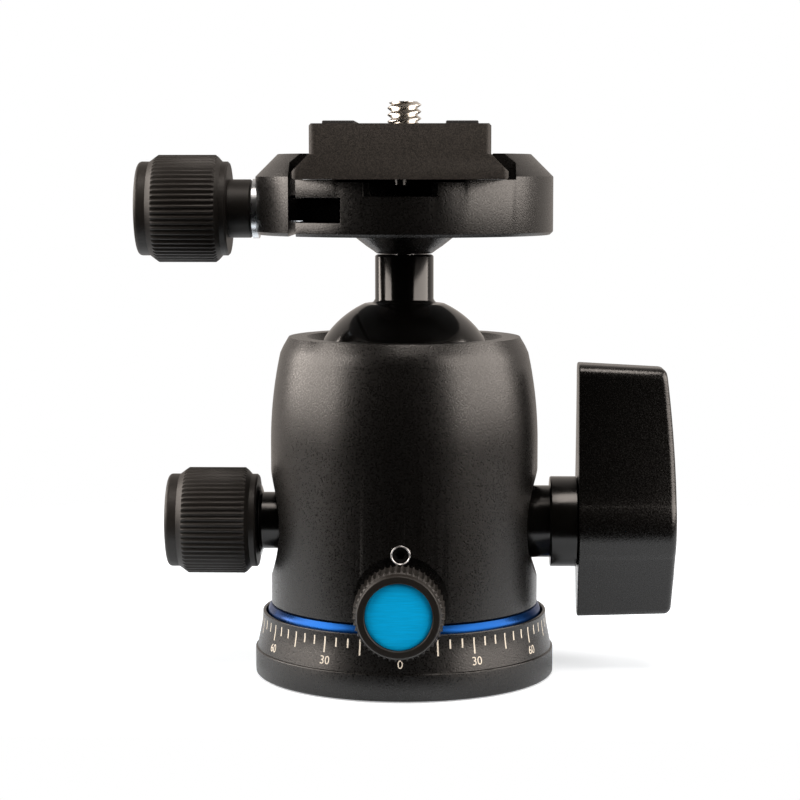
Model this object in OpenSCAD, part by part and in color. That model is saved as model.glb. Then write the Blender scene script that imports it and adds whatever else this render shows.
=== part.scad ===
// Tripod ball head with a dovetail quick-release clamp.
// +Z up, origin in the middle of the base's underside, scale zero towards -Y.

/* [Ball and stem] */
// Radius of the ball
ball_r = 18.15; // [17:0.05:19]
// Depth of the ball's centre under the housing's rim
ball_depth = 10.25; // [10:0.05:10.6]
// Radius of the stem
stem_r = 5.53; // [5:0.05:5.6]
// Height of the stem's top above the ball's centre
stem_l = 25.8; // [25:0.1:28]

/* [Housing] */
// Height of the rim above the ground
rim_z = 64.0; // [63:0.1:66]
// Thickness of the housing's wall round the seats
wall_t = 5.75; // [5.5:0.05:6.4]
// Gap between the ball and the mouth
mouth_gap = 0.5; // [0.4:0.05:0.8]
// Width of the flat rim
rim_w = 3.25; // [3:0.05:3.6]

/* [Base] */
// Height of the base ring's lip
base_h = 11.9; // [11.5:0.1:12.6]
// Height of the plain band under the scale
band_h = 5.1; // [4:0.1:6]
// How far the foot of the base stands out from its lip
base_flare = 1.4; // [1:0.1:2]
// Wall of the lip
lip_wall = 0.6; // [0.5:0.05:0.7]
// Bore radius of the 3/8 inch tripod thread
socket_r = 3.97; // [3.9:0.01:4.1]
// Depth of the tripod thread
socket_depth = 11.0; // [9:0.5:12]

/* [Clamp] */
// Radius of the clamp disc
clamp_r = 28.0; // [27:0.1:30]
// Thickness of the clamp
clamp_h = 15.0; // [14.8:0.1:15.4]
// Chamfer round the top of the clamp
clamp_chamfer = 4.2; // [3:0.1:4.4]
// Gap between the body and the closed jaw
split_gap = 1.45; // [1.2:0.05:1.8]
// How far the plate can slide each way between its stop pins
plate_travel = 3.5; // [2:0.1:4]

/* [Plate] */
// Length of the plate
plate_l = 60; // [56:1:80]
// Width of the plate's upper block
plate_w = 32; // [31:0.1:33]
// Thickness of the plate
plate_t = 9.55; // [9:0.05:12]
// How far the dovetail's foot stands out on each side
foot_out = 3.05; // [3:0.05:3.2]
// Radius of the 1/4 inch camera screw
screw_r = 3.175; // [3.1:0.005:3.2]
// How far the camera screw stands out of the plate
screw_out = 4.8; // [4:0.1:6]

/* [Knobs] */
// Outer radius of the ribbed clamp and tension knobs
knob_r = 10.1; // [9.6:0.1:11]
// Length of the ribbed knobs
knob_l = 17.2; // [16:0.1:20]
// Number of ribs round a ribbed knob
knob_ribs = 60; // [48:1:64]
// Distance of the tension knob from the housing's side
tension_gap = 2.45; // [2.3:0.05:3]
// Distance of the clamp knob from the clamp's edge
clamp_knob_gap = 5.0; // [4.8:0.1:6]
// Radius of the lock knob's round hub
lock_hub_r = 9.5; // [9:0.1:12]
// Reach of its long upper arm from the screw's axis
long_arm = 30.3; // [26:0.1:34]
// Width of that arm at its tip
long_tip_w = 9.8; // [8:0.1:12]
// Reach of its short lower arm
short_arm = 18.0; // [16:0.1:18.4]
// Width of that arm at its tip
short_tip_w = 7.0; // [6:0.1:10]
// Corner radius at both tips
tip_corner = 2.3; // [2.2:0.1:2.9]
// Distance of the lock knob from the housing's side
lock_gap = 7.55; // [7.4:0.05:9]
// Width of the lock knob at its axis
lock_knob_w = 18.5; // [17:0.1:20]
// Outer radius of the pan knob
pan_knob_r = 8.15; // [7.8:0.05:8.4]
// Number of teeth round the pan knob
pan_teeth = 48; // [40:1:52]
// Length of the pan knob in front of the base
pan_knob_l = 9.8; // [9:0.1:12]

/* [Hidden] */
$fn = 96;

// Clearances
run_fit = 0.06;      // radial, a shaft that turns in a bore
slide_fit = 0.05;    // radial, a pin that slides in a bore
still_gap = 0.1;     // between a piece and the pocket that holds it still
body_gap = 0.3;      // between faces that move past each other
press_gap = 0.02;    // radial, a piece pressed or glued into its bore
over = 1;            // how far a cut runs past a face

// Radii that follow the ball
seat_wall = 1.45;
cavity_r = ball_r + seat_wall;
housing_r = cavity_r + wall_t;
mouth_r = ball_r + mouth_gap;
rim_r = mouth_r + rim_w;
spigot_r = housing_r - 2.95;
trim_r = housing_r + 0.65;
lip_r = trim_r + 0.4 + lip_wall;
base_r = lip_r + base_flare;
spindle_rim_r = cavity_r - 1.6;
drum_r = spindle_rim_r - 3;
wedge_r = cavity_r - 2.6;
edge = 0.6;          // small turned chamfer

// Heights of the pan bearing, from the base upwards
floor_h = base_h - 3.3;
trim_z = base_h - 0.9;
foot_z = base_h + 1.3;
washer_t = 0.8;
keeper_t = 0.5;
pan_washer_z = floor_h + still_gap;
spigot_z = pan_washer_z + washer_t + still_gap;
flange_top_z = foot_z + 8;
spindle_rim_z = flange_top_z + keeper_t + still_gap;
spindle_top_z = spindle_rim_z + 1.8;
pan_z = foot_z + 4.3;
lock_z = spindle_top_z + 5.1;

// Screws that hold the spindle
spindle_screw_n = 4;
spindle_screw_pcd_r = drum_r - 2.8;
spindle_screw_r = 1.5;
spindle_screw_head_r = 2.9;
spindle_screw_head_h = 1.7;
spindle_screw_l = floor_h + 5.4;

// Tripod thread insert
bush_r = 7.0;
bush_flange_r = spindle_screw_pcd_r - spindle_screw_head_r - body_gap;
bush_flange_h = 1.6;
bush_top_z = socket_depth + 1;

// Thrust gear under the ball
pin_r = 3.0;
pin_gap = 0.8;       // between the pin's cone and the wedge's slope, along the axis
pin_back_x = cavity_r - 0.7;
slope_x = wedge_r - 4;  // where the slope crosses the screws' axis
wedge_z = spindle_top_z + 0.7;
wedge_top_z = lock_z + 5.3;
wedge_hole_r = 6;
spring_t = 0.7;
spring_rise = 0.45;
ball_z = rim_z - ball_depth;
cup_z = wedge_top_z + spring_t + spring_rise + 0.2;
cup_top_z = ball_z - 7.35;
cup_r = cavity_r - still_gap;
cup_hole_r = ball_r / 2;
seat_z = ball_z + 2.25;
seat_top_z = rim_z - 2.7;
seat_gap = 0.06;     // between the ball and its seats
lip_in_r = mouth_r - 1.7;

// The housing's wall leans in below the shoulder
shoulder_z = rim_z - 3;
shoulder_r = housing_r - 1.85;
curve_rise = 17;
curve_z = shoulder_z - curve_rise;
curve_drop = housing_r - shoulder_r;
curve_rad = (curve_rise * curve_rise + curve_drop * curve_drop) / (2 * curve_drop);

// Side screws
spot_x = housing_r - 2.15;  // flat of the round recesses in the housing's sides
spot_r = 10.35;
neck_depth = 1.6;    // how deep the knobs' necks reach below the recess
neck_end_x = spot_x - neck_depth + 0.7;
shaft_r = 4.0;
stud_r = 3.0;
stud_in = 11;        // how far a stud reaches into its knob
lock_neck_r = 6.85;
lock_collar_r = 8.6;
lock_collar_x = housing_r + 2.35;
lock_knob_x = housing_r + lock_gap;
tension_neck_r = 5.4;
tension_x = housing_r + tension_gap;
bush_wall = 1.4;
bush_x = cavity_r + 0.3;

// Pan screw
pan_spot_y = housing_r - 1.45;
pan_spot_r = 8.6;
pan_neck_r = 4.1;
pan_neck_y = pan_spot_y - neck_depth + 0.7;
pan_stud_r = 2.5;
groove_r = drum_r - 0.8;
groove_w = 5.2;
pan_pad_y = groove_r + 0.15;  // shown with the screw all but tight
pan_pad_l = 4;
pan_back_y = base_r + 0.8;
pan_face_y = pan_back_y + pan_knob_l;
pan_ring_r = pan_knob_r - 1;
pan_cap_r = pan_ring_r - 1.2;
pan_recess = 0.5;    // how far the disc lies behind the knob's face
pan_cap_t = 1;
pan_stud_end_y = pan_face_y - 3;
guide_z = pan_z + 8.7;  // grub screw over the pan knob
guide_r = 1.5;

// Clamp and dovetail, from the stem's top upwards
stem_top_z = ball_z + stem_l;
boss_foot_z = stem_top_z + 0.15;
boss_r = 5.2;
boss_top_r = 10;
clamp_z = boss_foot_z + 3.6;
clamp_top_z = clamp_z + clamp_h;
clamp_axis_z = clamp_z + 4.8;
plate_z = clamp_z + 10.55;  // underside of the plate in the clamp
dovetail_w = plate_w + 2 * foot_out;
split_x = dovetail_w / 2;
jaw_x = split_x + split_gap;
land_z = plate_z - body_gap;
channel_z = land_z - 0.4;
channel_w = 23;
flare_z = plate_z + 1.15;
lip_tip_x = plate_w / 2 + 0.5;
groove_x = dovetail_w / 2 + 0.4;
relief_x = split_x + 1.55;
lip_l = 30;          // length of the clamping lips along the plate
slot_h = 4.5;
slot_x = 10.7;
tenon_in = 3.5;
tenon_out = 16;
tenon_gap = 0.9;
jaw_pin_y = 13;
jaw_pin_r = 1.25;
jaw_pin_in = 6;      // length of a jaw pin in the body
jaw_pin_out = 2.4;   // and in the jaw
bolt_r = 2.5;
bolt_head_r = 4.25;
bolt_head_z = clamp_z + 4.2;
bolt_head_h = 5;
clamp_stud_r = 2.5;
clamp_stud_end_x = bolt_head_r + 1.15;
clamp_knob_x = clamp_r + clamp_knob_gap;
washer_r = 5.6;
washer_in = 0.65;    // how deep the clamp knob's washer sits in the jaw
spring_coil_r = 1.5;
spring_wire_r = 0.3;
spring_y = 7;        // distance of each jaw spring from the middle
spring_in = 5.1;     // length of a jaw spring in the body
spring_turns = 4;

// Plate fittings
plate_top_z = plate_z + plate_t;
plate_round = 1.0;
pad_out = plate_w / 2 - 2.2;
pad_in = pad_out - 5.8;
pad_l = plate_l - 4;
pad_sunk = 0.8;
pad_proud = 0.55;
screw_head_r = 7.0;
screw_head_h = 5.8;
retainer_r = 6.5;
retainer_t = 0.6;
retainer_proud = 0.25;
screw_neck_r = 2.6;
thread_z = plate_top_z + retainer_proud + 0.05;
stop_r = 1.3;
stop_out = 1.2;
stop_in = 2;
notch_w = 13.3;
notch_inner_w = 11.3;
notch_z = clamp_z + 7.3;
notch_end_y = clamp_r - 8;
notch_step_y = clamp_r - 3.5;
pin_y = notch_end_y + plate_travel + stop_r + 0.2;

// ---- shapes used more than once ----

// A turned shape whose axis runs outwards along X; x is measured from the middle
module along_x(side, z) {
    translate([0, 0, z])
        rotate([0, side * 90, 0])
            children();
}

// The same along -Y
module along_front(z) {
    translate([0, 0, z])
        rotate([90, 0, 0])
            children();
}

// Plain rod or hole from a to b on its own axis
module rod(r, a, b) {
    translate([0, 0, a])
        cylinder(r = r, h = b - a);
}

// Flat ring
module ring(outer, inner, a, b) {
    difference() {
        rod(outer, a, b);
        rod(inner, a - over, b + over);
    }
}

// Toothed outline: pointed ribs with a small flat on top
module rib_outline(r, depth, count) {
    step = 360 / count;
    polygon([for (i = [0 : count - 1])
        for (k = [0 : 2])
            let (a = (i + [0, 0.32, 0.68][k]) * step,
                q = [r - depth, r, r][k])
            [q * cos(a), q * sin(a)]]);
}

// Ribbed knob, from its inner face at 0 outwards; the ribs stand on a core with tapered ends
module ribbed_knob() {
    rib_depth = 0.45;
    flange_r = knob_r - 1.25;
    core_r = knob_r - rib_depth - 0.1;
    inner_l = 1.3;
    outer_l = knob_l - 2.2;
    taper_l = 0.6;
    translate([0, 0, inner_l + taper_l + 0.3])
        linear_extrude(outer_l - inner_l - 2 * taper_l - 0.6)
            rib_outline(knob_r, rib_depth, knob_ribs);
    rotate_extrude()
        polygon([[0, 0], [flange_r - 0.3, 0], [flange_r, 0.3], [flange_r, inner_l],
            [core_r, inner_l + taper_l], [core_r, outer_l - taper_l], [flange_r, outer_l],
            [flange_r, knob_l - 1.0], [flange_r - 0.25, knob_l - 0.4],
            [flange_r - 0.9, knob_l], [0, knob_l]]);
}

// ---- base ----

module base_ring() {
    color([0.1, 0.1, 0.1])
    difference() {
        rotate_extrude()
            polygon([[0, 0], [base_r - edge, 0], [base_r, edge], [base_r, band_h - 0.2],
                [base_r - 0.35, band_h], [(base_r + lip_r) / 2 - 0.3, (band_h + base_h) / 2 - 0.7],
                [lip_r, base_h - 2], [lip_r, base_h - 0.1], [lip_r - 0.1, base_h],
                [lip_r - lip_wall, base_h], [lip_r - lip_wall, floor_h], [0, floor_h]]);
        rod(bush_flange_r, -over, bush_flange_h);
        rod(bush_r, -over, floor_h + over);
        for (i = [0 : spindle_screw_n - 1])
            rotate([0, 0, 45 + i * 90])
                translate([spindle_screw_pcd_r, 0, 0]) {
                    rod(spindle_screw_r + still_gap, -over, floor_h + over);
                    translate([0, 0, -0.01])
                        cylinder(r1 = spindle_screw_head_r + still_gap,
                            r2 = spindle_screw_r + still_gap, h = spindle_screw_head_h + still_gap);
                }
    }
}

module socket_bush() {
    color([0.7, 0.7, 0.72])
    difference() {
        union() {
            rod(bush_flange_r - still_gap, 0, bush_flange_h - still_gap);
            rod(bush_r - press_gap, 0, bush_top_z);
        }
        rod(socket_r, -over, socket_depth);
    }
}

module pan_spindle() {
    color([0.45, 0.45, 0.47])
    difference() {
        rotate_extrude()
            polygon([[0, floor_h], [drum_r, floor_h], [drum_r, pan_z - groove_w / 2],
                [groove_r, pan_z - groove_w / 2 + 0.4], [groove_r, pan_z + groove_w / 2 - 0.4],
                [drum_r, pan_z + groove_w / 2], [drum_r, spindle_rim_z],
                [spindle_rim_r, spindle_rim_z], [spindle_rim_r, spindle_top_z],
                [0, spindle_top_z]]);
        rod(bush_r, floor_h - over, bush_top_z + body_gap);
        for (i = [0 : spindle_screw_n - 1])
            rotate([0, 0, 45 + i * 90])
                translate([spindle_screw_pcd_r, 0, 0])
                    rod(spindle_screw_r + press_gap, floor_h - over, spindle_screw_l + 0.5);
    }
}

module spindle_screws() {
    hex_r = 1.1;
    hex_in = 1.1;
    color([0.6, 0.6, 0.62])
    for (i = [0 : spindle_screw_n - 1])
        rotate([0, 0, 45 + i * 90])
            translate([spindle_screw_pcd_r, 0, 0])
                difference() {
                    union() {
                        rod(spindle_screw_r, 0, spindle_screw_l);
                        cylinder(r1 = spindle_screw_head_r, r2 = spindle_screw_r, h = spindle_screw_head_h);
                    }
                    translate([0, 0, -over])
                        cylinder(r = hex_r, h = over + hex_in, $fn = 6);
                }
}

module pan_washer() {
    color([0.9, 0.9, 0.86])
    ring(spigot_r - 1.4, drum_r + 0.3, pan_washer_z, pan_washer_z + washer_t);
}

module keeper_washer() {
    color([0.9, 0.9, 0.86])
    ring(spindle_rim_r, drum_r + 0.2, flange_top_z + still_gap / 2,
        flange_top_z + still_gap / 2 + keeper_t);
}

// ---- housing ----

function wall_curve(steps) =
    [for (i = [0 : steps])
        let (z = curve_z + curve_rise * i / steps, q = z - curve_z)
        [housing_r - curve_rad + sqrt(curve_rad * curve_rad - q * q), z]];

module housing() {
    color([0.09, 0.09, 0.09])
    difference() {
        rotate_extrude()
            polygon(concat(
                [[drum_r + run_fit, spigot_z], [spigot_r, spigot_z], [spigot_r, foot_z],
                    [housing_r - 0.2, foot_z], [housing_r, foot_z + 0.2]],
                wall_curve(8),
                [[rim_r, rim_z], [mouth_r, rim_z], [lip_in_r, seat_top_z + 0.3],
                    [lip_in_r, seat_top_z + still_gap], [cavity_r, seat_top_z + still_gap],
                    [cavity_r, flange_top_z], [drum_r + run_fit, flange_top_z]]));
        for (side = [-1, 1])
            along_x(side, lock_z)
                rod(spot_r, spot_x, housing_r + over);
        along_x(1, lock_z) {
            rod(lock_neck_r + body_gap / 2, spot_x - neck_depth, housing_r);
            rod(shaft_r + bush_wall, cavity_r - over, housing_r);
        }
        along_x(-1, lock_z) {
            rod(tension_neck_r + body_gap / 2, spot_x - neck_depth, housing_r);
            rod(stud_r + bush_wall, cavity_r - over, housing_r);
        }
        along_front(pan_z) {
            rod(pan_spot_r, pan_spot_y, housing_r + over);
            rod(pan_neck_r + body_gap / 2, pan_spot_y - neck_depth, housing_r);
            rod(pan_stud_r + bush_wall, bush_x, housing_r);
            rod(pan_stud_r + slide_fit, drum_r - over, housing_r);
        }
        along_front(guide_z)
            rod(guide_r + press_gap, cavity_r - over, housing_r + over);
    }
}

module trim_ring() {
    color([0.1, 0.35, 0.75])
    rotate_extrude()
        polygon([[spigot_r + still_gap, trim_z], [trim_r, trim_z], [trim_r, base_h],
            [trim_r - 0.12, base_h + 0.5], [trim_r - 0.35, base_h + 0.95],
            [housing_r, foot_z], [spigot_r + still_gap, foot_z]]);
}

module guide_screw() {
    tip_l = 1.2;
    head_y = housing_r - 0.5;
    hex_r = 0.87;
    hex_in = 1.7;
    color([0.5, 0.5, 0.5])
    along_front(guide_z)
        difference() {
            union() {
                rod(guide_r, cavity_r - tip_l, head_y);
                rod(guide_r - 0.4, wedge_r - 0.9, cavity_r - tip_l);
            }
            translate([0, 0, head_y - hex_in])
                cylinder(r = hex_r, h = hex_in + over, $fn = 6);
        }
}

module ball_cup() {
    color([0.75, 0.6, 0.3])
    difference() {
        rod(cup_r, cup_z, cup_top_z);
        translate([0, 0, ball_z])
            sphere(r = ball_r + seat_gap);
        rod(cup_hole_r, cup_z - over, cup_top_z);
    }
}

module disc_spring() {
    color([0.5, 0.5, 0.52])
    translate([0, 0, wedge_top_z + still_gap])
        rotate_extrude()
            polygon([[cup_hole_r + 1, spring_rise], [wedge_r, 0], [wedge_r, spring_t],
                [cup_hole_r + 1, spring_rise + spring_t]]);
}

module wedge_block() {
    key_w = 2.6;
    key_in = 1.6;
    color([0.42, 0.42, 0.44])
    difference() {
        rod(wedge_r, wedge_z, wedge_top_z);
        rod(wedge_hole_r, wedge_z - over, wedge_top_z + over);
        for (side = [0, 180])
            rotate([0, 0, side])
                rotate([90, 0, 0])
                    translate([0, 0, -wedge_r])
                        linear_extrude(2 * wedge_r)
                            polygon([[slope_x + wedge_z - lock_z - 2 * over, wedge_z - 2 * over],
                                [slope_x + wedge_r, lock_z + wedge_r],
                                [slope_x + wedge_r, wedge_z - 2 * over]]);
        translate([-key_w / 2, -wedge_r - over, wedge_z - over])
            cube([key_w, over + key_in, wedge_top_z - wedge_z]);
    }
}

module lock_bush() {
    color([0.75, 0.6, 0.3])
    along_x(1, lock_z)
        ring(shaft_r + bush_wall - press_gap, shaft_r + run_fit, bush_x, spot_x - neck_depth);
}

module tension_bush() {
    color([0.75, 0.6, 0.3])
    along_x(-1, lock_z)
        ring(stud_r + bush_wall - press_gap, stud_r + run_fit, bush_x, spot_x - neck_depth);
}

module pan_bush() {
    color([0.75, 0.6, 0.3])
    along_front(pan_z)
        ring(pan_stud_r + bush_wall - press_gap, pan_stud_r + run_fit, bush_x,
            pan_spot_y - neck_depth);
}

module seat_ring() {
    color([0.88, 0.88, 0.84])
    difference() {
        rod(cavity_r - run_fit, seat_z, seat_top_z);
        translate([0, 0, ball_z])
            sphere(r = ball_r + seat_gap);
    }
}

// ---- ball ----

module ball_and_stem() {
    flat_r = 7.6;
    flat_z = ball_z + sqrt(ball_r * ball_r - flat_r * flat_r);
    color([0.05, 0.05, 0.05])
    difference() {
        union() {
            intersection() {
                translate([0, 0, ball_z])
                    sphere(r = ball_r);
                rod(ball_r + over, ball_z - ball_r + 1, flat_z);
            }
            rotate_extrude()
                polygon([[0, ball_z], [stem_r + 0.5, flat_z - 0.5], [stem_r + 0.5, flat_z],
                    [stem_r, flat_z + 0.4], [stem_r, stem_top_z - 0.5],
                    [boss_r - 0.1, stem_top_z], [0, stem_top_z]]);
        }
        rod(bolt_r + run_fit, flat_z - 3, stem_top_z + over);
    }
}

// ---- clamp ----

// Disc with its chamfered top and the conical boss under it
module clamp_disc() {
    rotate_extrude()
        polygon([[0, clamp_z], [clamp_r - edge, clamp_z], [clamp_r, clamp_z + edge],
            [clamp_r, clamp_top_z - clamp_chamfer], [clamp_r - clamp_chamfer, clamp_top_z],
            [0, clamp_top_z]]);
}

// Room for the plate between the lips, as seen from the front
module groove_outline() {
    polygon([[-clamp_r - over, land_z], [-channel_w / 2, land_z], [-channel_w / 2 + 0.4, channel_z],
        [channel_w / 2 - 0.4, channel_z], [channel_w / 2, land_z], [groove_x, land_z],
        [groove_x, flare_z], [lip_tip_x, flare_z + groove_x - lip_tip_x],
        [lip_tip_x, clamp_top_z + over], [-clamp_r - over, clamp_top_z + over]]);
}

module clamp_body() {
    color([0.09, 0.09, 0.09])
    difference() {
        union() {
            clamp_disc();
            rotate_extrude()
                polygon([[0, boss_foot_z], [boss_r, boss_foot_z], [boss_r + 0.8, boss_foot_z + 0.6],
                    [boss_r + 2.0, boss_foot_z + 1.4], [boss_top_r, clamp_z], [0, clamp_z + over]]);
        }
        translate([-split_x - clamp_r, -clamp_r - over, clamp_z - over])
            cube([clamp_r, 2 * (clamp_r + over), clamp_h + 2 * over]);
        rotate([90, 0, 0])
            translate([0, 0, -clamp_r - over])
                linear_extrude(2 * (clamp_r + over))
                    groove_outline();
        for (front = [-1, 1])
            front_back(front) {
                translate([lip_tip_x - over, lip_l / 2, land_z])
                    cube([relief_x - lip_tip_x + over, clamp_r, clamp_h]);
                translate([-notch_w / 2, notch_step_y, notch_z])
                    cube([notch_w, clamp_r, clamp_h]);
                translate([-notch_inner_w / 2, notch_end_y, notch_z])
                    cube([notch_inner_w, clamp_r, clamp_h]);
            }
        translate([-split_x - over, -clamp_r - over, clamp_axis_z - slot_h / 2])
            cube([split_x - slot_x + over, 2 * (clamp_r + over), slot_h]);
        rod(bolt_head_r + 0.3, bolt_head_z, clamp_top_z);
        rod(bolt_r + run_fit, boss_foot_z - over, clamp_top_z);
        along_x(-1, clamp_axis_z) {
            rod(clamp_stud_r + run_fit, clamp_stud_end_x - 0.5, split_x + over);
            for (y = [-jaw_pin_y, jaw_pin_y])
                translate([0, y, 0])
                    rod(jaw_pin_r + slide_fit, slot_x - jaw_pin_in - 1, slot_x + over);
            for (y = [-1, 1])
                translate([0, y * spring_y, 0])
                    rod(spring_coil_r + spring_wire_r + 0.15, slot_x - spring_in - still_gap, slot_x + over);
        }
    }
}

// Mirror image front to back
module front_back(front) {
    if (front > 0)
        children();
    else
        mirror([0, 1, 0])
            children();
}

module clamp_bolt() {
    hex_r = 2.31;
    hex_in = 2.5;
    color([0.3, 0.3, 0.3])
    difference() {
        union() {
            rod(bolt_r, ball_z + ball_r - 3, bolt_head_z);
            rod(bolt_head_r, bolt_head_z, bolt_head_z + bolt_head_h);
        }
        translate([0, 0, bolt_head_z + bolt_head_h - hex_in])
            cylinder(r = hex_r, h = hex_in + over, $fn = 6);
    }
}

module jaw() {
    color([0.09, 0.09, 0.09])
    difference() {
        union() {
            difference() {
                clamp_disc();
                translate([-jaw_x, -clamp_r - over, clamp_z - over])
                    cube([2 * clamp_r, 2 * (clamp_r + over), clamp_h + 2 * over]);
            }
            intersection() {
                clamp_disc();
                rotate([90, 0, 0])
                    translate([0, 0, -lip_l / 2])
                        linear_extrude(lip_l)
                            polygon([[-jaw_x - over, clamp_top_z], [-lip_tip_x, clamp_top_z],
                                [-lip_tip_x, flare_z + groove_x - lip_tip_x], [-groove_x, flare_z],
                                [-jaw_x - over, flare_z]]);
            }
            for (y = [-tenon_out, tenon_in])
                translate([-jaw_x - over, y, clamp_axis_z - slot_h / 2 + body_gap])
                    cube([jaw_x + over - slot_x - tenon_gap, tenon_out - tenon_in,
                        slot_h - 2 * body_gap]);
        }
        along_x(-1, clamp_axis_z) {
            rod(clamp_stud_r + run_fit, slot_x, clamp_r + over);
            for (y = [-jaw_pin_y, jaw_pin_y])
                translate([0, y, 0])
                    rod(jaw_pin_r + press_gap, slot_x, jaw_x + jaw_pin_out + still_gap);
            rod(washer_r + 0.5, clamp_r - washer_in - 0.05, clamp_r + over);
        }
    }
}

module jaw_pins() {
    color([0.75, 0.75, 0.77])
    along_x(-1, clamp_axis_z)
        for (y = [-jaw_pin_y, jaw_pin_y])
            translate([0, y, 0])
                rod(jaw_pin_r, slot_x - jaw_pin_in, jaw_x + jaw_pin_out);
}

// Coil spring round its own axis, swept from points worked out along the helix
module coil(r, wire, turns, length) {
    sides = 6;
    per_turn = 10;
    rings = turns * per_turn;
    points = [for (i = [0 : rings])
        let (a = i * 360 / per_turn, z = wire + (length - 2 * wire) * i / rings)
        for (k = [0 : sides - 1])
            let (b = k * 360 / sides, q = r + wire * cos(b))
            [q * cos(a), q * sin(a), z + wire * sin(b)]];
    walls = [for (i = [0 : rings - 1])
        for (k = [0 : sides - 1])
            let (n = (k + 1) % sides, lo = i * sides, hi = lo + sides)
            [lo + k, hi + k, hi + n, lo + n]];
    ends = [[for (k = [0 : sides - 1]) k],
        [for (k = [sides - 1 : -1 : 0]) rings * sides + k]];
    polyhedron(points, concat(walls, ends));
}

module jaw_springs() {
    color([0.7, 0.7, 0.7])
    along_x(-1, clamp_axis_z)
        for (y = [-1, 1])
            translate([0, y * spring_y, slot_x - spring_in])
                coil(spring_coil_r, spring_wire_r, spring_turns, spring_in + tenon_gap - still_gap);
}

module clamp_washer() {
    color([0.8, 0.82, 0.85])
    along_x(-1, clamp_axis_z)
        ring(washer_r, clamp_stud_r + 0.2, clamp_r - washer_in, clamp_r + 0.5);
}

module clamp_knob() {
    neck_r = 5.5;
    neck_x = clamp_r + 0.6;
    color([0.2, 0.19, 0.18])
    along_x(-1, clamp_axis_z)
        difference() {
            union() {
                translate([0, 0, clamp_knob_x])
                    ribbed_knob();
                rotate_extrude()
                    polygon([[0, neck_x], [neck_r - 0.4, neck_x], [neck_r, neck_x + 0.4],
                        [neck_r, clamp_knob_x + over], [0, clamp_knob_x + over]]);
            }
            rod(clamp_stud_r, clamp_r, clamp_knob_x + stud_in);
        }
}

module clamp_stud() {
    color([0.7, 0.7, 0.72])
    along_x(-1, clamp_axis_z)
        rod(clamp_stud_r, clamp_stud_end_x, clamp_knob_x + stud_in);
}

// ---- plate ----

// Rounding along one upright corner of the plate, cut from a to b in height
module corner_cut(x, a, b) {
    for (side = [-1, 1])
        for (front = [-1, 1])
            front_back(front)
                translate([side * (x - plate_round), plate_l / 2 - plate_round, a])
                    difference() {
                        translate([side > 0 ? 0 : -over - plate_round, 0, 0])
                            cube([over + plate_round, over + plate_round, b - a]);
                        rod(plate_round, -over, b - a + over);
                    }
}

module plate() {
    foot = dovetail_w / 2;
    block = plate_w / 2;
    flare_top_z = flare_z + foot - block;
    color([0.22, 0.21, 0.2])
    difference() {
        rotate([90, 0, 0])
            translate([0, 0, -plate_l / 2])
                linear_extrude(plate_l)
                    polygon([[-foot + 0.3, plate_z], [foot - 0.3, plate_z], [foot, plate_z + 0.3],
                        [foot, flare_z], [block, flare_top_z],
                        [block, plate_top_z - 0.4], [block - 0.4, plate_top_z],
                        [0.4 - block, plate_top_z], [-block, plate_top_z - 0.4],
                        [-block, flare_top_z], [-foot, flare_z], [-foot, plate_z + 0.3]]);
        corner_cut(block, flare_top_z, plate_top_z + over);
        corner_cut(foot, plate_z - over, flare_top_z);
        for (x = [-pad_out, pad_in])
            translate([x, -pad_l / 2, plate_top_z - pad_sunk])
                cube([pad_out - pad_in, pad_l, pad_sunk + over]);
        rod(screw_r + run_fit + 0.05, plate_z, plate_top_z + over);
        rod(screw_head_r + 0.2, plate_z - over, plate_z + screw_head_h + 0.6);
        rod(retainer_r + still_gap, plate_top_z - retainer_t + retainer_proud, plate_top_z + over);
        for (y = [-pin_y, pin_y])
            translate([0, y, 0])
                rod(stop_r + 0.01, plate_z - over, plate_z + stop_in);
    }
}

module plate_pads() {
    color([0.12, 0.12, 0.13])
    for (x = [-pad_out, pad_in])
        translate([x + press_gap, press_gap - pad_l / 2, plate_top_z - pad_sunk])
            cube([pad_out - pad_in - 2 * press_gap, pad_l - 2 * press_gap, pad_sunk + pad_proud]);
}

module camera_screw() {
    head_top_z = plate_z + screw_head_h + 0.5;
    tip_z = plate_top_z + screw_out;
    slot_w = 1.6;
    slot_in = 1.8;
    color([0.75, 0.72, 0.66])
    difference() {
        union() {
            rod(screw_head_r, head_top_z - screw_head_h, head_top_z);
            rod(screw_neck_r, head_top_z, thread_z);
            rotate_extrude()
                polygon([[0, thread_z], [screw_r, thread_z], [screw_r, tip_z - 0.6],
                    [screw_r - 0.6, tip_z], [0, tip_z]]);
        }
        translate([-slot_w / 2, -screw_head_r - over, head_top_z - screw_head_h - over])
            cube([slot_w, 2 * (screw_head_r + over), over + slot_in]);
    }
}

module screw_washer() {
    color([0.3, 0.3, 0.3])
    ring(retainer_r, screw_neck_r + 0.1, plate_top_z - retainer_t + retainer_proud,
        plate_top_z + retainer_proud);
}

module stop_pins() {
    color([0.25, 0.25, 0.25])
    for (y = [-pin_y, pin_y])
        translate([0, y, 0])
            rod(stop_r, plate_z - stop_out, plate_z + stop_in);
}

// ---- lock ----

// Outline of an arm that widens from its squared tip to a root inside the hub
module arm_outline(reach, tip_w, inset) {
    root_w = 2 * lock_hub_r - 1.2;
    root_in = 2;         // the root lies this far beyond the screw's axis
    hull()
        for (x = [-1, 1])
            for (end = [[tip_w, reach - tip_corner], [root_w, tip_corner - root_in]])
                translate([x * (end.x / 2 - tip_corner), end.y])
                    circle(r = tip_corner - inset, $fn = 32);
}

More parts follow.
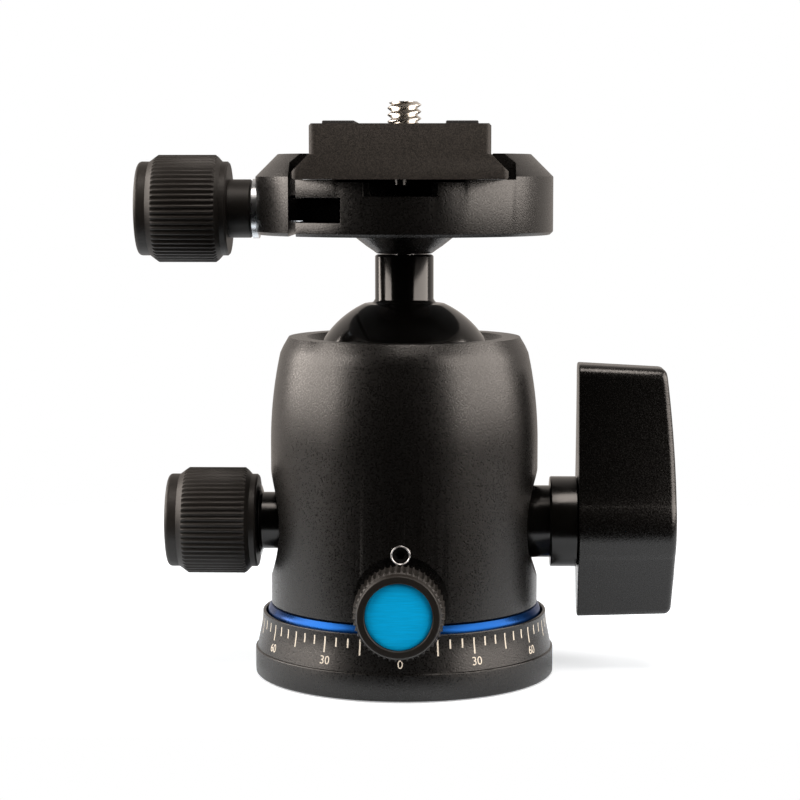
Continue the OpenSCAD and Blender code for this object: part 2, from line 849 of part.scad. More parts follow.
// Outline of one of the three forms that make up the lock knob
module knob_outline(form, inset) {
    if (form == "hub")
        circle(r = lock_hub_r - inset, $fn = 96);
    if (form == "long arm")
        arm_outline(long_arm, long_tip_w, inset);
    if (form == "short arm")
        mirror([0, 1])
            arm_outline(short_arm, short_tip_w, inset);
}

// Places a lock knob outline: its plane upright, its depth along +X from the knob's inner face
module on_lock_axis(x) {
    translate([lock_knob_x + x, 0, lock_z])
        rotate([90, 0, 90])
            children();
}

// All that lies under the knob's domed outer face, lowered by a drop
module under_dome(drop) {
    dome_r = 220;
    intersection() {
        children();
        on_lock_axis(lock_knob_w - drop - dome_r)
            sphere(r = dome_r, $fn = 180);
    }
}

// Form with a drafted wall, a domed outer face and a rounded rim, thinner
// than the knob by a hair on both sides
module knob_form(form, hair) {
    draft = 0.95;        // how far the side walls lean in over the knob's width
    inner_edge = 0.35;
    outer_round = 1.2;
    hull() {
        on_lock_axis(hair)
            linear_extrude(inner_edge)
                knob_outline(form, inner_edge);
        on_lock_axis(hair + inner_edge)
            linear_extrude(0.01)
                knob_outline(form, 0);
        for (a = [0 : 22.5 : 90])
            under_dome(hair + outer_round * (1 - sin(a)))
                on_lock_axis(1)
                    linear_extrude(lock_knob_w)
                        knob_outline(form, draft + outer_round * (1 - cos(a)));
    }
}

// Round hub with a long arm above it and a short one below
module lock_knob() {
    color([0.1, 0.1, 0.1])
    difference() {
        union() {
            knob_form("hub", 0);
            knob_form("long arm", 0.03);
            knob_form("short arm", 0.06);
        }
        along_x(1, lock_z)
            rod(shaft_r, lock_knob_x - over, lock_knob_x + stud_in);
    }
}

module lock_collar() {
    color([0.1, 0.1, 0.1])
    along_x(1, lock_z)
        difference() {
            rotate_extrude()
                polygon([[0, neck_end_x], [lock_neck_r, neck_end_x], [lock_neck_r, lock_collar_x],
                    [lock_collar_r - 0.3, lock_collar_x], [lock_collar_r, lock_collar_x + 0.3],
                    [lock_collar_r, lock_knob_x], [0, lock_knob_x]]);
            rod(shaft_r, neck_end_x - over, lock_knob_x + over);
        }
}

module lock_shaft() {
    color([0.7, 0.7, 0.72])
    along_x(1, lock_z)
        rod(shaft_r, pin_back_x + still_gap, lock_knob_x + stud_in);
}

// Thrust pin with a conical tip that pushes under the wedge block
module thrust_pin() {
    tip_x = slope_x + pin_gap;
    rotate_extrude()
        polygon([[0, tip_x], [pin_r, tip_x + pin_r], [pin_r, pin_back_x], [0, pin_back_x]]);
}

module lock_pin() {
    color([0.6, 0.6, 0.62])
    along_x(1, lock_z)
        thrust_pin();
}

// ---- tension ----

module tension_knob() {
    color([0.2, 0.19, 0.18])
    along_x(-1, lock_z)
        translate([0, 0, tension_x])
            difference() {
                ribbed_knob();
                rod(stud_r, -over, stud_in);
            }
}

module tension_sleeve() {
    disc_r = 6.7;
    color([0.15, 0.15, 0.15])
    along_x(-1, lock_z)
        difference() {
            rotate_extrude()
                polygon([[0, neck_end_x], [tension_neck_r, neck_end_x],
                    [tension_neck_r, tension_x - 0.9], [disc_r, tension_x - 0.45],
                    [disc_r, tension_x - 0.3], [tension_neck_r, tension_x], [0, tension_x]]);
            rod(stud_r, neck_end_x - over, tension_x + over);
        }
}

module tension_stud() {
    color([0.7, 0.7, 0.72])
    along_x(-1, lock_z)
        rod(stud_r, pin_back_x + still_gap, tension_x + stud_in);
}

module tension_pin() {
    color([0.6, 0.6, 0.62])
    along_x(-1, lock_z)
        thrust_pin();
}

// ---- pan lock ----

module pan_knob() {
    tooth_l = 6.4;
    tooth_y = pan_face_y - 1.6 - tooth_l;
    color([0.18, 0.17, 0.16])
    along_front(pan_z)
        difference() {
            union() {
                intersection() {
                    translate([0, 0, tooth_y])
                        linear_extrude(tooth_l)
                            rib_outline(pan_knob_r, 0.42, pan_teeth);
                    rotate_extrude()
                        polygon([[0, tooth_y], [pan_knob_r - 0.5, tooth_y],
                            [pan_knob_r, tooth_y + 0.5], [pan_knob_r, tooth_y + tooth_l - 0.5],
                            [pan_knob_r - 0.5, tooth_y + tooth_l], [0, tooth_y + tooth_l]]);
                }
                rotate_extrude()
                    polygon([[0, pan_neck_y], [pan_neck_r, pan_neck_y], [pan_neck_r, pan_back_y],
                        [pan_ring_r, pan_back_y], [pan_ring_r, pan_face_y - 0.35],
                        [pan_ring_r - 0.35, pan_face_y], [0, pan_face_y]]);
            }
            rod(pan_cap_r + press_gap, pan_face_y - pan_recess - pan_cap_t, pan_face_y + over);
            rod(pan_stud_r, pan_neck_y - over, pan_stud_end_y);
        }
}

module pan_cap() {
    color([0.05, 0.6, 0.85])
    along_front(pan_z)
        rod(pan_cap_r, pan_face_y - pan_recess - pan_cap_t, pan_face_y - pan_recess);
}

module pan_stud() {
    color([0.7, 0.7, 0.72])
    along_front(pan_z)
        rod(pan_stud_r, pan_pad_y + pan_pad_l + still_gap, pan_stud_end_y);
}

// Its tip is tapered so that it reaches the bottom of the groove
module pan_pad() {
    pad_r = pan_stud_r - slide_fit;
    taper = 0.6;
    color([0.75, 0.6, 0.3])
    along_front(pan_z)
        rotate_extrude()
            polygon([[0, pan_pad_y], [pad_r - taper, pan_pad_y], [pad_r, pan_pad_y + taper],
                [pad_r, pan_pad_y + pan_pad_l], [0, pan_pad_y + pan_pad_l]]);
}

base_ring();
socket_bush();
pan_spindle();
spindle_screws();
pan_washer();
keeper_washer();
housing();
trim_ring();
guide_screw();
ball_cup();
disc_spring();
wedge_block();
lock_bush();
tension_bush();
pan_bush();
seat_ring();
ball_and_stem();
clamp_body();
clamp_bolt();
jaw();
jaw_pins();
jaw_springs();
clamp_washer();
clamp_knob();
clamp_stud();
plate();
plate_pads();
camera_screw();
screw_washer();
stop_pins();
lock_knob();
lock_collar();
lock_shaft();
lock_pin();
tension_knob();
tension_sleeve();
tension_stud();
tension_pin();
pan_knob();
pan_cap();
pan_stud();
pan_pad();
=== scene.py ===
# %% [markdown]
# # A tripod ball head, dressed over its construction
#
# The construction of the head is loaded first and never moves. Every piece
# made below is laid over it in the same frame, in metres, and rides on the
# body that it belongs to. Each step says what the piece is on the real head,
# how it could be made, and why this way was chosen.

# %% Load the frame
import math

import bpy
from mathutils import Matrix, Vector


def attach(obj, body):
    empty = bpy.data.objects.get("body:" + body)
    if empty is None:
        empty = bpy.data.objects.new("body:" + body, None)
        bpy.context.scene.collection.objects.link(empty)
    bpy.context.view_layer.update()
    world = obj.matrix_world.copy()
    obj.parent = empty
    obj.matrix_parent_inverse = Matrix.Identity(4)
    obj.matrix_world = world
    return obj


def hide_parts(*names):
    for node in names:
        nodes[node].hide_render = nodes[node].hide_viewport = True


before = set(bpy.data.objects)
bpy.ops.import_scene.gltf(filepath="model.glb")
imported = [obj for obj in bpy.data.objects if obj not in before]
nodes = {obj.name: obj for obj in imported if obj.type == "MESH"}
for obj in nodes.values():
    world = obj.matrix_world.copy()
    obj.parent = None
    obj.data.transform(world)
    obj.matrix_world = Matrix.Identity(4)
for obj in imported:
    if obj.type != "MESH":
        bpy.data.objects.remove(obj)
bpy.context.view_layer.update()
MM = 0.001

# %% [markdown]
# ## Small helpers
#
# Operators act on whatever is selected, and the loaded nodes arrive selected,
# so every step starts by deselecting all. Faces and edges are picked in code
# by their place, because there is no mouse to click with.

# %% Selecting and naming
def only(obj):
    """Leaves one object selected and active."""
    bpy.ops.object.select_all(action="DESELECT")
    obj.select_set(True)
    bpy.context.view_layer.objects.active = obj
    return obj


def named(name):
    """Names the object that an operator has just added."""
    obj = bpy.context.active_object
    obj.name = name
    obj.data.name = name
    return only(obj)


def edit(obj, mode="VERT"):
    """Opens a mesh in edit mode with nothing selected."""
    only(obj)
    bpy.ops.object.mode_set(mode="EDIT")
    bpy.ops.mesh.select_mode(type=mode)
    bpy.ops.mesh.select_all(action="DESELECT")


def pick(obj, test, kind="vertices"):
    """Selects what passes a test on its place, and comes back to edit mode."""
    bpy.ops.object.mode_set(mode="OBJECT")
    for item in getattr(obj.data, kind):
        place = item.co if kind == "vertices" else item.center
        item.select = bool(test(place))
    bpy.ops.object.mode_set(mode="EDIT")


def leave():
    """Closes edit mode."""
    bpy.ops.object.mode_set(mode="OBJECT")


# %% [markdown]
# Bevels, cuts and wraps are modifiers that are applied as soon as they are
# set, so that every next step works on the finished mesh. A bevel on every
# sharp edge matters most: no real edge is perfectly sharp, and it is the
# small round that catches the light.

# %% Modifiers that are applied at once
def modify(obj, kind, **settings):
    """Adds one modifier, sets it and applies it."""
    only(obj)
    modifier = obj.modifiers.new(kind.lower(), kind)
    for key, value in settings.items():
        setattr(modifier, key, value)
    bpy.ops.object.modifier_apply(modifier=modifier.name)
    return obj


def soften(obj, width_mm, angle=30, segments=2):
    """Breaks the sharp edges, as a deburring tool or a mould does."""
    modify(obj, "BEVEL", width=width_mm * MM, segments=segments, limit_method="ANGLE",
           angle_limit=math.radians(angle), harden_normals=False, use_clamp_overlap=True)
    return smooth(obj)


def smooth(obj, angle=35):
    """Shades as round what bends less than an angle."""
    only(obj)
    bpy.ops.object.shade_smooth_by_angle(angle=math.radians(angle))
    return obj


def drill(obj, tool):
    """Cuts one closed solid out of another and throws the tool away."""
    modify(obj, "BOOLEAN", operation="DIFFERENCE", solver="EXACT", object=tool)
    bpy.data.objects.remove(tool)
    return obj


def join(pieces, name):
    """Makes one object of several and names it."""
    bpy.ops.object.select_all(action="DESELECT")
    for piece in pieces:
        piece.select_set(True)
    bpy.context.view_layer.objects.active = pieces[0]
    if len(pieces) > 1:
        bpy.ops.object.join()
    return named(name)


def copy_of(obj, name, turn=0):
    """A copy with its own mesh, turned about Z by degrees."""
    twin = obj.copy()
    twin.data = obj.data.copy()
    twin.name = name
    bpy.context.collection.objects.link(twin)
    twin.rotation_euler = (0, 0, math.radians(turn))
    return twin


def settle(obj):
    """Moves the object's place into its mesh, as a loaded node has it."""
    only(obj)
    bpy.ops.object.transform_apply(location=True, rotation=True, scale=True)
    return obj


# %% [markdown]
# ## Turned pieces
#
# Most of a ball head is turned on a lathe: the tool follows a profile while
# the bar spins. A stack of cylinders would show its facets at every step, so
# each turned piece here is a profile extruded point by point and spun.

# %% The lathe
FINER = 192     # steps round the housing, the base and the ball
FINE = 144      # steps round a large turned piece
COARSE = 72     # steps round a small one


def outline(name, profile):
    """A chain of edges through (radius, height) points, in the XZ plane."""
    bpy.ops.object.select_all(action="DESELECT")
    bpy.ops.mesh.primitive_plane_add(size=1)
    obj = named(name)
    edit(obj)
    bpy.ops.mesh.select_all(action="SELECT")
    bpy.ops.mesh.merge(type="CENTER")
    here = profile[0]
    bpy.ops.transform.translate(value=(here[0] * MM, 0, here[1] * MM))
    for there in profile[1:]:
        bpy.ops.mesh.extrude_region_move(TRANSFORM_OT_translate={
            "value": ((there[0] - here[0]) * MM, 0, (there[1] - here[1]) * MM)})
        here = there
    bpy.ops.mesh.select_all(action="SELECT")
    bpy.ops.mesh.remove_doubles(threshold=1e-7)
    leave()
    return obj


def lathe(name, profile, steps=FINE, axis="Z", at=(0, 0, 0)):
    """Spins a profile of (radius, height) in millimetres round an axis through a point."""
    obj = outline(name, profile)
    edit(obj)
    bpy.ops.mesh.select_all(action="SELECT")
    bpy.ops.mesh.spin(steps=steps, angle=2 * math.pi, center=(0, 0, 0), axis=(0, 0, 1))
    bpy.ops.mesh.select_all(action="SELECT")
    bpy.ops.mesh.remove_doubles(threshold=1e-6)
    bpy.ops.mesh.normals_make_consistent(inside=False)
    leave()
    turn = {"Z": (0, 0, 0), "X": (0, 90, 0), "-X": (0, -90, 0), "-Y": (90, 0, 0)}[axis]
    obj.rotation_euler = [math.radians(a) for a in turn]
    obj.location = [v * MM for v in at]
    return smooth(settle(obj), 30)


def rod(name, radius, low, high, steps=COARSE, axis="Z", at=(0, 0, 0)):
    """A plain closed cylinder, used to drill holes."""
    return lathe(name, [(0, low), (radius, low), (radius, high), (0, high)], steps, axis, at)


def arc(centre, radius, start, end, count):
    """Points of an arc in a profile, angles in degrees."""
    return [(centre[0] + radius * math.cos(math.radians(start + (end - start) * i / count)),
             centre[1] + radius * math.sin(math.radians(start + (end - start) * i / count)))
            for i in range(count + 1)]


# %% [markdown]
# ## Finishes
#
# A finish is a small tree of nodes. The pattern is worked out from Object
# coordinates, which are metres in the head's own frame, so the grain has its
# real size on every piece. Constants such as the roughness of a plain finish
# are set on the shader itself.

# %% The start of every finish
def finish(name, colour, roughness, metallic=0.0, specular=0.5):
    """Returns (material, tree, shader) with the constants set on the shader."""
    material = bpy.data.materials.new(name)
    material.use_nodes = True
    tree = material.node_tree
    shader = tree.nodes["Principled BSDF"]
    shader.inputs["Base Color"].default_value = (*colour, 1)
    shader.inputs["Roughness"].default_value = roughness
    shader.inputs["Metallic"].default_value = metallic
    shader.inputs["Specular IOR Level"].default_value = specular
    return material, tree, shader


def node(tree, kind, **inputs):
    """Adds one node and sets its sockets; an underscore stands for a space."""
    made = tree.nodes.new(kind)
    for key, value in inputs.items():
        made.inputs[key.replace("_", " ")].default_value = value
    return made


def place(tree, scale=(1, 1, 1)):
    """Object coordinates, stretched per axis where a finish has a direction."""
    where = tree.nodes.new("ShaderNodeTexCoord")
    mapping = tree.nodes.new("ShaderNodeMapping")
    mapping.inputs["Scale"].default_value = scale
    tree.links.new(where.outputs["Object"], mapping.inputs["Vector"])
    return mapping.outputs["Vector"]


def noise(tree, vector, scale, detail=2.0, rough=0.5):
    """Noise of so many bumps to the metre."""
    made = node(tree, "ShaderNodeTexNoise", Scale=scale, Detail=detail, Roughness=rough)
    tree.links.new(vector, made.inputs["Vector"])
    return made.outputs["Fac"]


def spread(tree, value, low, high, to_low, to_high):
    """Maps a pattern from one range to another."""
    made = tree.nodes.new("ShaderNodeMapRange")
    made.inputs["From Min"].default_value = low
    made.inputs["From Max"].default_value = high
    made.inputs["To Min"].default_value = to_low
    made.inputs["To Max"].default_value = to_high
    tree.links.new(value, made.inputs["Value"])
    return made.outputs["Result"]


def tint(tree, shader, value, dark, light):
    """Lets a pattern shift the colour a little."""
    ramp = tree.nodes.new("ShaderNodeValToRGB")
    ramp.color_ramp.elements[0].color = (*dark, 1)
    ramp.color_ramp.elements[1].color = (*light, 1)
    tree.links.new(value, ramp.inputs["Fac"])
    tree.links.new(ramp.outputs["Color"], shader.inputs["Base Color"])


def emboss(tree, shader, value, strength, depth_mm):
    """Lets a pattern raise the surface by a depth."""
    bump = tree.nodes.new("ShaderNodeBump")
    bump.inputs["Strength"].default_value = strength
    bump.inputs["Distance"].default_value = depth_mm * MM
    tree.links.new(value, bump.inputs["Height"])
    tree.links.new(bump.outputs["Normal"], shader.inputs["Normal"])


# %% [markdown]
# The housing, the base, the clamp and the lever wear a powder coat. It flows
# as it bakes and leaves a fine pebbled skin, about a third of a millimetre
# from bump to bump, that breaks a highlight into specks. Two sizes of noise
# give the pebbles and the slow waves under them.

# %% Powder coat
def powder_coat(name, colour, roughness, pebble_mm, depth_mm):
    material, tree, shader = finish(name, colour, roughness, specular=0.55)
    vector = place(tree)
    pebbles = noise(tree, vector, 1 / (pebble_mm * MM), 2.0, 0.55)
    waves = noise(tree, vector, 0.12 / (pebble_mm * MM), 1.0)
    tint(tree, shader, waves, [c * 0.85 for c in colour], [c * 1.25 for c in colour])
    tree.links.new(spread(tree, pebbles, 0.35, 0.65, roughness - 0.05, roughness + 0.09),
                   shader.inputs["Roughness"])
    emboss(tree, shader, pebbles, 1.0, depth_mm)
    return material


SOOT = (0.0022, 0.0020, 0.0018)     # black with a little warmth
coat_black = powder_coat("coat_black", SOOT, 0.29, 0.30, 0.030)
lever_black = powder_coat("lever_black", SOOT, 0.24, 0.30, 0.034)


# %% [markdown]
# The ball and its stem are turned, polished and anodised black, and the
# screws, washers and bushes are turned too. A lathe leaves fine rings, so the
# noise is stretched flat: slow round the axis and quick along it.

# %% Turned metals
def turned(name, colour, roughness, metallic, ring_mm=0.12, depth_mm=0.002):
    material, tree, shader = finish(name, colour, roughness, metallic)
    rings = noise(tree, place(tree, (0.02, 0.02, 1)), 1 / (ring_mm * MM), 1.0)
    smear = noise(tree, place(tree), 260, 3.0)
    tree.links.new(spread(tree, smear, 0.3, 0.7, roughness * 0.8, roughness * 1.25),
                   shader.inputs["Roughness"])
    tint(tree, shader, smear, [c * 0.9 for c in colour], [min(1, c * 1.1) for c in colour])
    emboss(tree, shader, rings, 0.6, depth_mm)
    return material


polished_black = turned("polished_black", (0.0014, 0.0013, 0.0012), 0.13, 0.0)
collar_black = turned("collar_black", SOOT, 0.19, 0.0)
nickel = turned("nickel", (0.80, 0.77, 0.72), 0.22, 1.0)
bright_steel = turned("bright_steel", (0.72, 0.76, 0.80), 0.25, 1.0)
dull_steel = turned("dull_steel", (0.45, 0.45, 0.46), 0.38, 1.0)
bare_aluminium = turned("bare_aluminium", (0.62, 0.62, 0.63), 0.35, 1.0)
black_oxide = turned("black_oxide", (0.020, 0.020, 0.021), 0.30, 0.7)
brass = turned("brass", (0.72, 0.50, 0.22), 0.32, 1.0)
ring_blue = turned("ring_blue", (0.002, 0.045, 0.19), 0.30, 0.90)


# %% [markdown]
# The small knobs are moulded in a matte, slightly warm black plastic, and the
# plate is blasted and anodised, which leaves a dry grain with no gloss.

# %% Matte finishes
def matte(name, colour, roughness, grain_mm, depth_mm, specular=0.4, fleck=0.12):
    material, tree, shader = finish(name, colour, roughness, specular=specular)
    vector = place(tree)
    grain = noise(tree, vector, 1 / (grain_mm * MM), 3.0, 0.6)
    flecks = spread(tree, grain, 0.38, 0.62, 0.0, 1.0)
    tint(tree, shader, flecks, [c * (1 - fleck) for c in colour],
         [c * (1 + fleck) for c in colour])
    tree.links.new(spread(tree, grain, 0.3, 0.7, roughness - 0.06, roughness + 0.06),
                   shader.inputs["Roughness"])
    emboss(tree, shader, grain, 0.8, depth_mm)
    return material


knob_black = matte("knob_black", (0.0105, 0.0088, 0.0074), 0.46, 0.20, 0.012, fleck=0.3)
plate_black = matte("plate_black", (0.024, 0.0205, 0.0175), 0.58, 0.22, 0.045, fleck=0.5)
rubber_black = matte("rubber_black", (0.012, 0.012, 0.013), 0.70, 0.30, 0.02)
bearing_white = matte("bearing_white", (0.75, 0.75, 0.71), 0.45, 0.30, 0.004)
scale_paint = matte("scale_paint", (0.72, 0.66, 0.56), 0.55, 0.12, 0.006)


# %% [markdown]
# The disc in the pan knob is brushed in straight lines and anodised a clear
# blue. Long thin noise along X gives the lines, both in the colour and in the
# bump.

# %% Brushed blue
def brushed(name, colour, line_mm, depth_mm):
    material, tree, shader = finish(name, colour, 0.50, metallic=0.05, specular=0.2)
    lines = noise(tree, place(tree, (0.05, 1, 1)), 1 / (line_mm * MM), 3.0, 0.65)
    tint(tree, shader, spread(tree, lines, 0.35, 0.65, 0, 1), [c * 0.90 for c in colour],
         [min(1, c * 1.10) for c in colour])
    tree.links.new(spread(tree, lines, 0.3, 0.7, 0.32, 0.46), shader.inputs["Roughness"])
    emboss(tree, shader, lines, 0.8, depth_mm)
    return material


disc_blue = brushed("disc_blue", (0.0, 0.46, 0.96), 0.22, 0.012)
print("finishes:", len(bpy.data.materials))


# %% [markdown]
# ## The floor, the lamps and the camera
#
# The head stands on pale paper. A round sheet keeps the shadow under the
# head and fades into plain white at its rim. It ends a little in front of the
# base, so that upright black faces mirror a dark room and not the paper.

# %% Pale floor
def add_rays(tree, *kinds):
    """One for a ray of any of these kinds, nought for the rest."""
    rays = tree.nodes.new("ShaderNodeLightPath")
    total = rays.outputs[kinds[0]]
    for kind in kinds[1:]:
        add = tree.nodes.new("ShaderNodeMath")
        add.operation = "MAXIMUM"
        tree.links.new(total, add.inputs[0])
        tree.links.new(rays.outputs[kind], add.inputs[1])
        total = add.outputs["Value"]
    return total


FLOOR_R = 0.24          # reach of the paper
FRONT_EDGE = -0.048     # the paper ends here
EDGE_BLUR = 0.006       # half the width over which that edge fades
PAPER = (0.78, 0.865, 0.95)     # a little blue, because the lamps are warm
PAPER_GLOW = 0.38               # lifts the paper to plain white for the camera alone


def floor_paper(reach):
    """Pale paper that fades into the white sweep at its rim and at its front edge."""
    material = bpy.data.materials.new("floor_paper")
    material.use_nodes = True
    tree = material.node_tree
    shader = tree.nodes["Principled BSDF"]
    shader.inputs["Base Color"].default_value = (*PAPER, 1)
    shader.inputs["Roughness"].default_value = 0.9
    shader.inputs["Specular IOR Level"].default_value = 0.1
    shader.inputs["Emission Color"].default_value = (1, 1, 1, 1)
    glow = tree.nodes.new("ShaderNodeMath")
    glow.operation = "MULTIPLY"
    glow.inputs[1].default_value = PAPER_GLOW
    tree.links.new(add_rays(tree, "Is Camera Ray"), glow.inputs[0])
    tree.links.new(glow.outputs["Value"], shader.inputs["Emission Strength"])
    fade = tree.nodes.new("ShaderNodeTexGradient")
    fade.gradient_type = "SPHERICAL"
    tree.links.new(place(tree, (1 / reach, 1 / reach, 1 / reach)), fade.inputs["Vector"])
    where = tree.nodes.new("ShaderNodeTexCoord")
    parts = tree.nodes.new("ShaderNodeSeparateXYZ")
    tree.links.new(where.outputs["Object"], parts.inputs["Vector"])
    both = tree.nodes.new("ShaderNodeMath")
    both.operation = "MULTIPLY"
    tree.links.new(spread(tree, fade.outputs["Fac"], 0.0, 0.55, 0.0, 1.0), both.inputs[0])
    tree.links.new(spread(tree, parts.outputs["Y"], FRONT_EDGE - EDGE_BLUR,
                          FRONT_EDGE + EDGE_BLUR, 0, 1), both.inputs[1])
    tree.links.new(both.outputs["Value"], shader.inputs["Alpha"])
    return material


bpy.ops.mesh.primitive_circle_add(vertices=96, radius=FLOOR_R, fill_type="NGON",
                                  location=(0, 0, -0.0002))
floor = named("floor")
floor.data.materials.append(floor_paper(FLOOR_R))
print("floor:", FLOOR_R, "m round, from y =", FRONT_EDGE)


# %% [markdown]
# A white sheet hangs behind the head and rises over it. The camera sees it as
# plain white. Light Path tells the rays apart, so that glossy pieces mirror
# it only where it hangs and the room in front stays dark.

# %% White sweep round the head
WARM = (1.0, 0.90, 0.82)    # the studio's lamps lean to yellow


def sweep(front, behind, light):
    """White to the camera; reflections see it bright behind the head and dim in front."""
    world = bpy.data.worlds.new("sweep")
    bpy.context.scene.world = world
    world.use_nodes = True
    tree = world.node_tree

    def air(strength):
        shade = tree.nodes.new("ShaderNodeBackground")
        shade.inputs["Color"].default_value = (1, 1, 1, 1)
        shade.inputs["Strength"].default_value = strength
        return shade

    def choose(rays, otherwise, chosen):
        mix = tree.nodes.new("ShaderNodeMixShader")
        tree.links.new(rays, mix.inputs["Fac"])
        tree.links.new(otherwise.outputs[0], mix.inputs[1])
        tree.links.new(chosen.outputs[0], mix.inputs[2])
        return mix

    mirrored = air(1.0)
    mirrored.inputs["Color"].default_value = (*WARM, 1)
    where = tree.nodes.new("ShaderNodeTexCoord")
    parts = tree.nodes.new("ShaderNodeSeparateXYZ")
    tree.links.new(where.outputs["Generated"], parts.inputs["Vector"])
    tree.links.new(spread(tree, parts.outputs["Y"], 0.0, 0.7, front, behind),
                   mirrored.inputs["Strength"])
    part_way = choose(add_rays(tree, "Is Glossy Ray", "Is Transmission Ray"), air(light), mirrored)
    whole = choose(add_rays(tree, "Is Camera Ray"), part_way, air(1.0))
    tree.links.new(whole.outputs[0], tree.nodes["World Output"].inputs["Surface"])


sweep(front=0.0, behind=0.6, light=0.10)


# %% [markdown]
# Two tall softboxes stand at the sides. They give every upright cylinder two
# bright bars and a dark middle, which is what makes black metal look round. A
# weaker one overhead lights the rims.

# %% Lamps
TARGET = Vector((0, 0, 0.055))


def softbox(name, azimuth, height, distance, width, tall, power, colour=WARM):
    """A rectangular lamp; azimuth in degrees from the camera's side, right is positive."""
    turn = math.radians(azimuth - 90)
    spot = Vector((math.cos(turn) * distance, math.sin(turn) * distance, height))
    bpy.ops.object.light_add(type="AREA", location=spot)
    lamp = named(name)
    lamp.data.shape = "RECTANGLE"
    lamp.data.size = width
    lamp.data.size_y = tall
    lamp.data.energy = power
    lamp.data.color = colour
    lamp.rotation_euler = (TARGET - spot).to_track_quat("-Z", "Y").to_euler()
    return lamp


softbox("lamp_left", -88, 0.30, 0.60, 0.80, 0.50, 8.5)
softbox("lamp_right", 76, 0.30, 0.60, 0.80, 0.50, 7.0)
softbox("lamp_top", 20, 0.75, 0.25, 0.40, 0.30, 3.0)


# %% [markdown]
# A long lens from close by keeps the upright sides nearly upright. The lens
# looks down by less than six degrees, so the scale on the base is read as a
# shallow curve.

# %% Camera
BACK = Vector((0.02848, -0.99474, 0.09845))     # from the aim to the lens
AIM = Vector((-0.00082, 0, 0.05185))
DISTANCE, LENS_MM = 0.430, 101.8

bpy.ops.object.camera_add()
camera = named("camera")
camera.data.sensor_width = 36
camera.data.lens = LENS_MM
camera.location = AIM + BACK.normalized() * DISTANCE
camera.rotation_euler = BACK.to_track_quat("Z", "Y").to_euler()
camera.data.clip_start = 0.01
camera.data.clip_end = 20
bpy.context.scene.camera = camera
bpy.context.scene.view_settings.view_transform = "Standard"
print("camera:", [round(v, 4) for v in camera.location], "lens", LENS_MM)


# %% [markdown]
# ## Housing
#
# The barrel is turned first and drilled after, as in the workshop. The side
# wall leans in over the last third of its height. Every rim gets a small
# round edge after the holes are cut, because a sharp edge would catch no
# light at all.

# %% The barrel and its holes
LOCK_Z, PAN_Z, GUIDE_Z = 28.7, 17.5, 26.2       # heights of the cross holes
BARREL_R, RIM_Z, FOOT_Z = 25.35, 64.0, 13.2
SKIRT_R, BORE_R, SPINDLE_R, MOUTH_R = 22.4, 19.6, 15.06, 16.95
LEAN_Z, LEAN_RISE, LEAN_DROP = 44.0, 17.0, 1.85     # the wall leans in from here
SPOT_X, SPOT_R, SPOT_STEP = 23.2, 10.35, 1.6    # flats that the side knobs face
PAN_SPOT_Y, PAN_SPOT_R = 23.9, 8.6              # the same for the pan knob
WALL_STEPS = 14                                 # steps of the profile where it leans in
GUIDE_R, CLEAR = 1.52, 28                       # grub screw; well outside the wall


def lean(z):
    """Radius of the barrel's wall at a height."""
    bend = (LEAN_RISE ** 2 + LEAN_DROP ** 2) / (2 * LEAN_DROP)
    return BARREL_R - bend + math.sqrt(bend ** 2 - max(0.0, z - LEAN_Z) ** 2)


wall = [(lean(z), z) for z in (LEAN_Z + LEAN_RISE * i / WALL_STEPS
                               for i in range(WALL_STEPS + 1))]
barrel = lathe("housing_shell", [(SKIRT_R, 10.2), (SKIRT_R, FOOT_Z), (25.0, FOOT_Z),
                                 (BARREL_R, FOOT_Z + 0.35)]
               + wall + [(22.9, 62.3), (21.9, RIM_Z), (18.65, RIM_Z), (17.3, 62.4),
                         (MOUTH_R, 61.6), (MOUTH_R, 61.4), (BORE_R, 61.4), (BORE_R, 21.2),
                         (SPINDLE_R, 21.2), (SPINDLE_R, 9.6), (SKIRT_R, 9.6), (SKIRT_R, 10.2)],
               steps=FINER)
for side, neck_r, bore_r in (("X", 7.0, 5.4), ("-X", 5.55, 4.4)):
    for radius, low in ((SPOT_R, SPOT_X), (neck_r, SPOT_X - SPOT_STEP), (bore_r, 18)):
        drill(barrel, rod("cut", radius, low, CLEAR, axis=side, at=(0, 0, LOCK_Z)))
for radius, low in ((PAN_SPOT_R, PAN_SPOT_Y), (4.25, PAN_SPOT_Y - SPOT_STEP), (3.9, 19.9),
                    (2.55, 14)):
    drill(barrel, rod("cut", radius, low, CLEAR, axis="-Y", at=(0, 0, PAN_Z)))
drill(barrel, rod("cut", GUIDE_R, 18, CLEAR, axis="-Y", at=(0, 0, GUIDE_Z)))
soften(barrel, 0.28, 28, 3)
smooth(barrel, 40)
barrel.data.materials.append(coat_black)
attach(barrel, "housing")
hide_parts("housing")
print("housing:", len(barrel.data.polygons), "faces")


# %% [markdown]
# The grub screw's hole was tapped after coating, so a ring of bare metal
# shows round it. The ring is a very thin turned washer that lies on the wall.

# %% Bare ring round the grub screw
BARE_R = 1.80
bare = lathe("bare_ring", [(GUIDE_R, 25.0), (GUIDE_R, 25.36), (1.60, 25.42), (1.72, 25.40),
                           (BARE_R, 25.3), (BARE_R, 25.0), (GUIDE_R, 25.0)],
             COARSE, "-Y", (0, 0, GUIDE_Z))
bare.data.materials.append(bare_aluminium)
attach(bare, "housing")
print("bare ring:", GUIDE_R, "to", BARE_R, "mm")


# %% [markdown]
# ## Base, scale and trim ring
#
# The base ring is turned from bar, and the steel bush in its middle takes the
# tripod's screw. Its upper face slopes in, slightly hollow, so that the scale
# on it can be read from above. The holes for the four spindle screws are
# drilled from below.

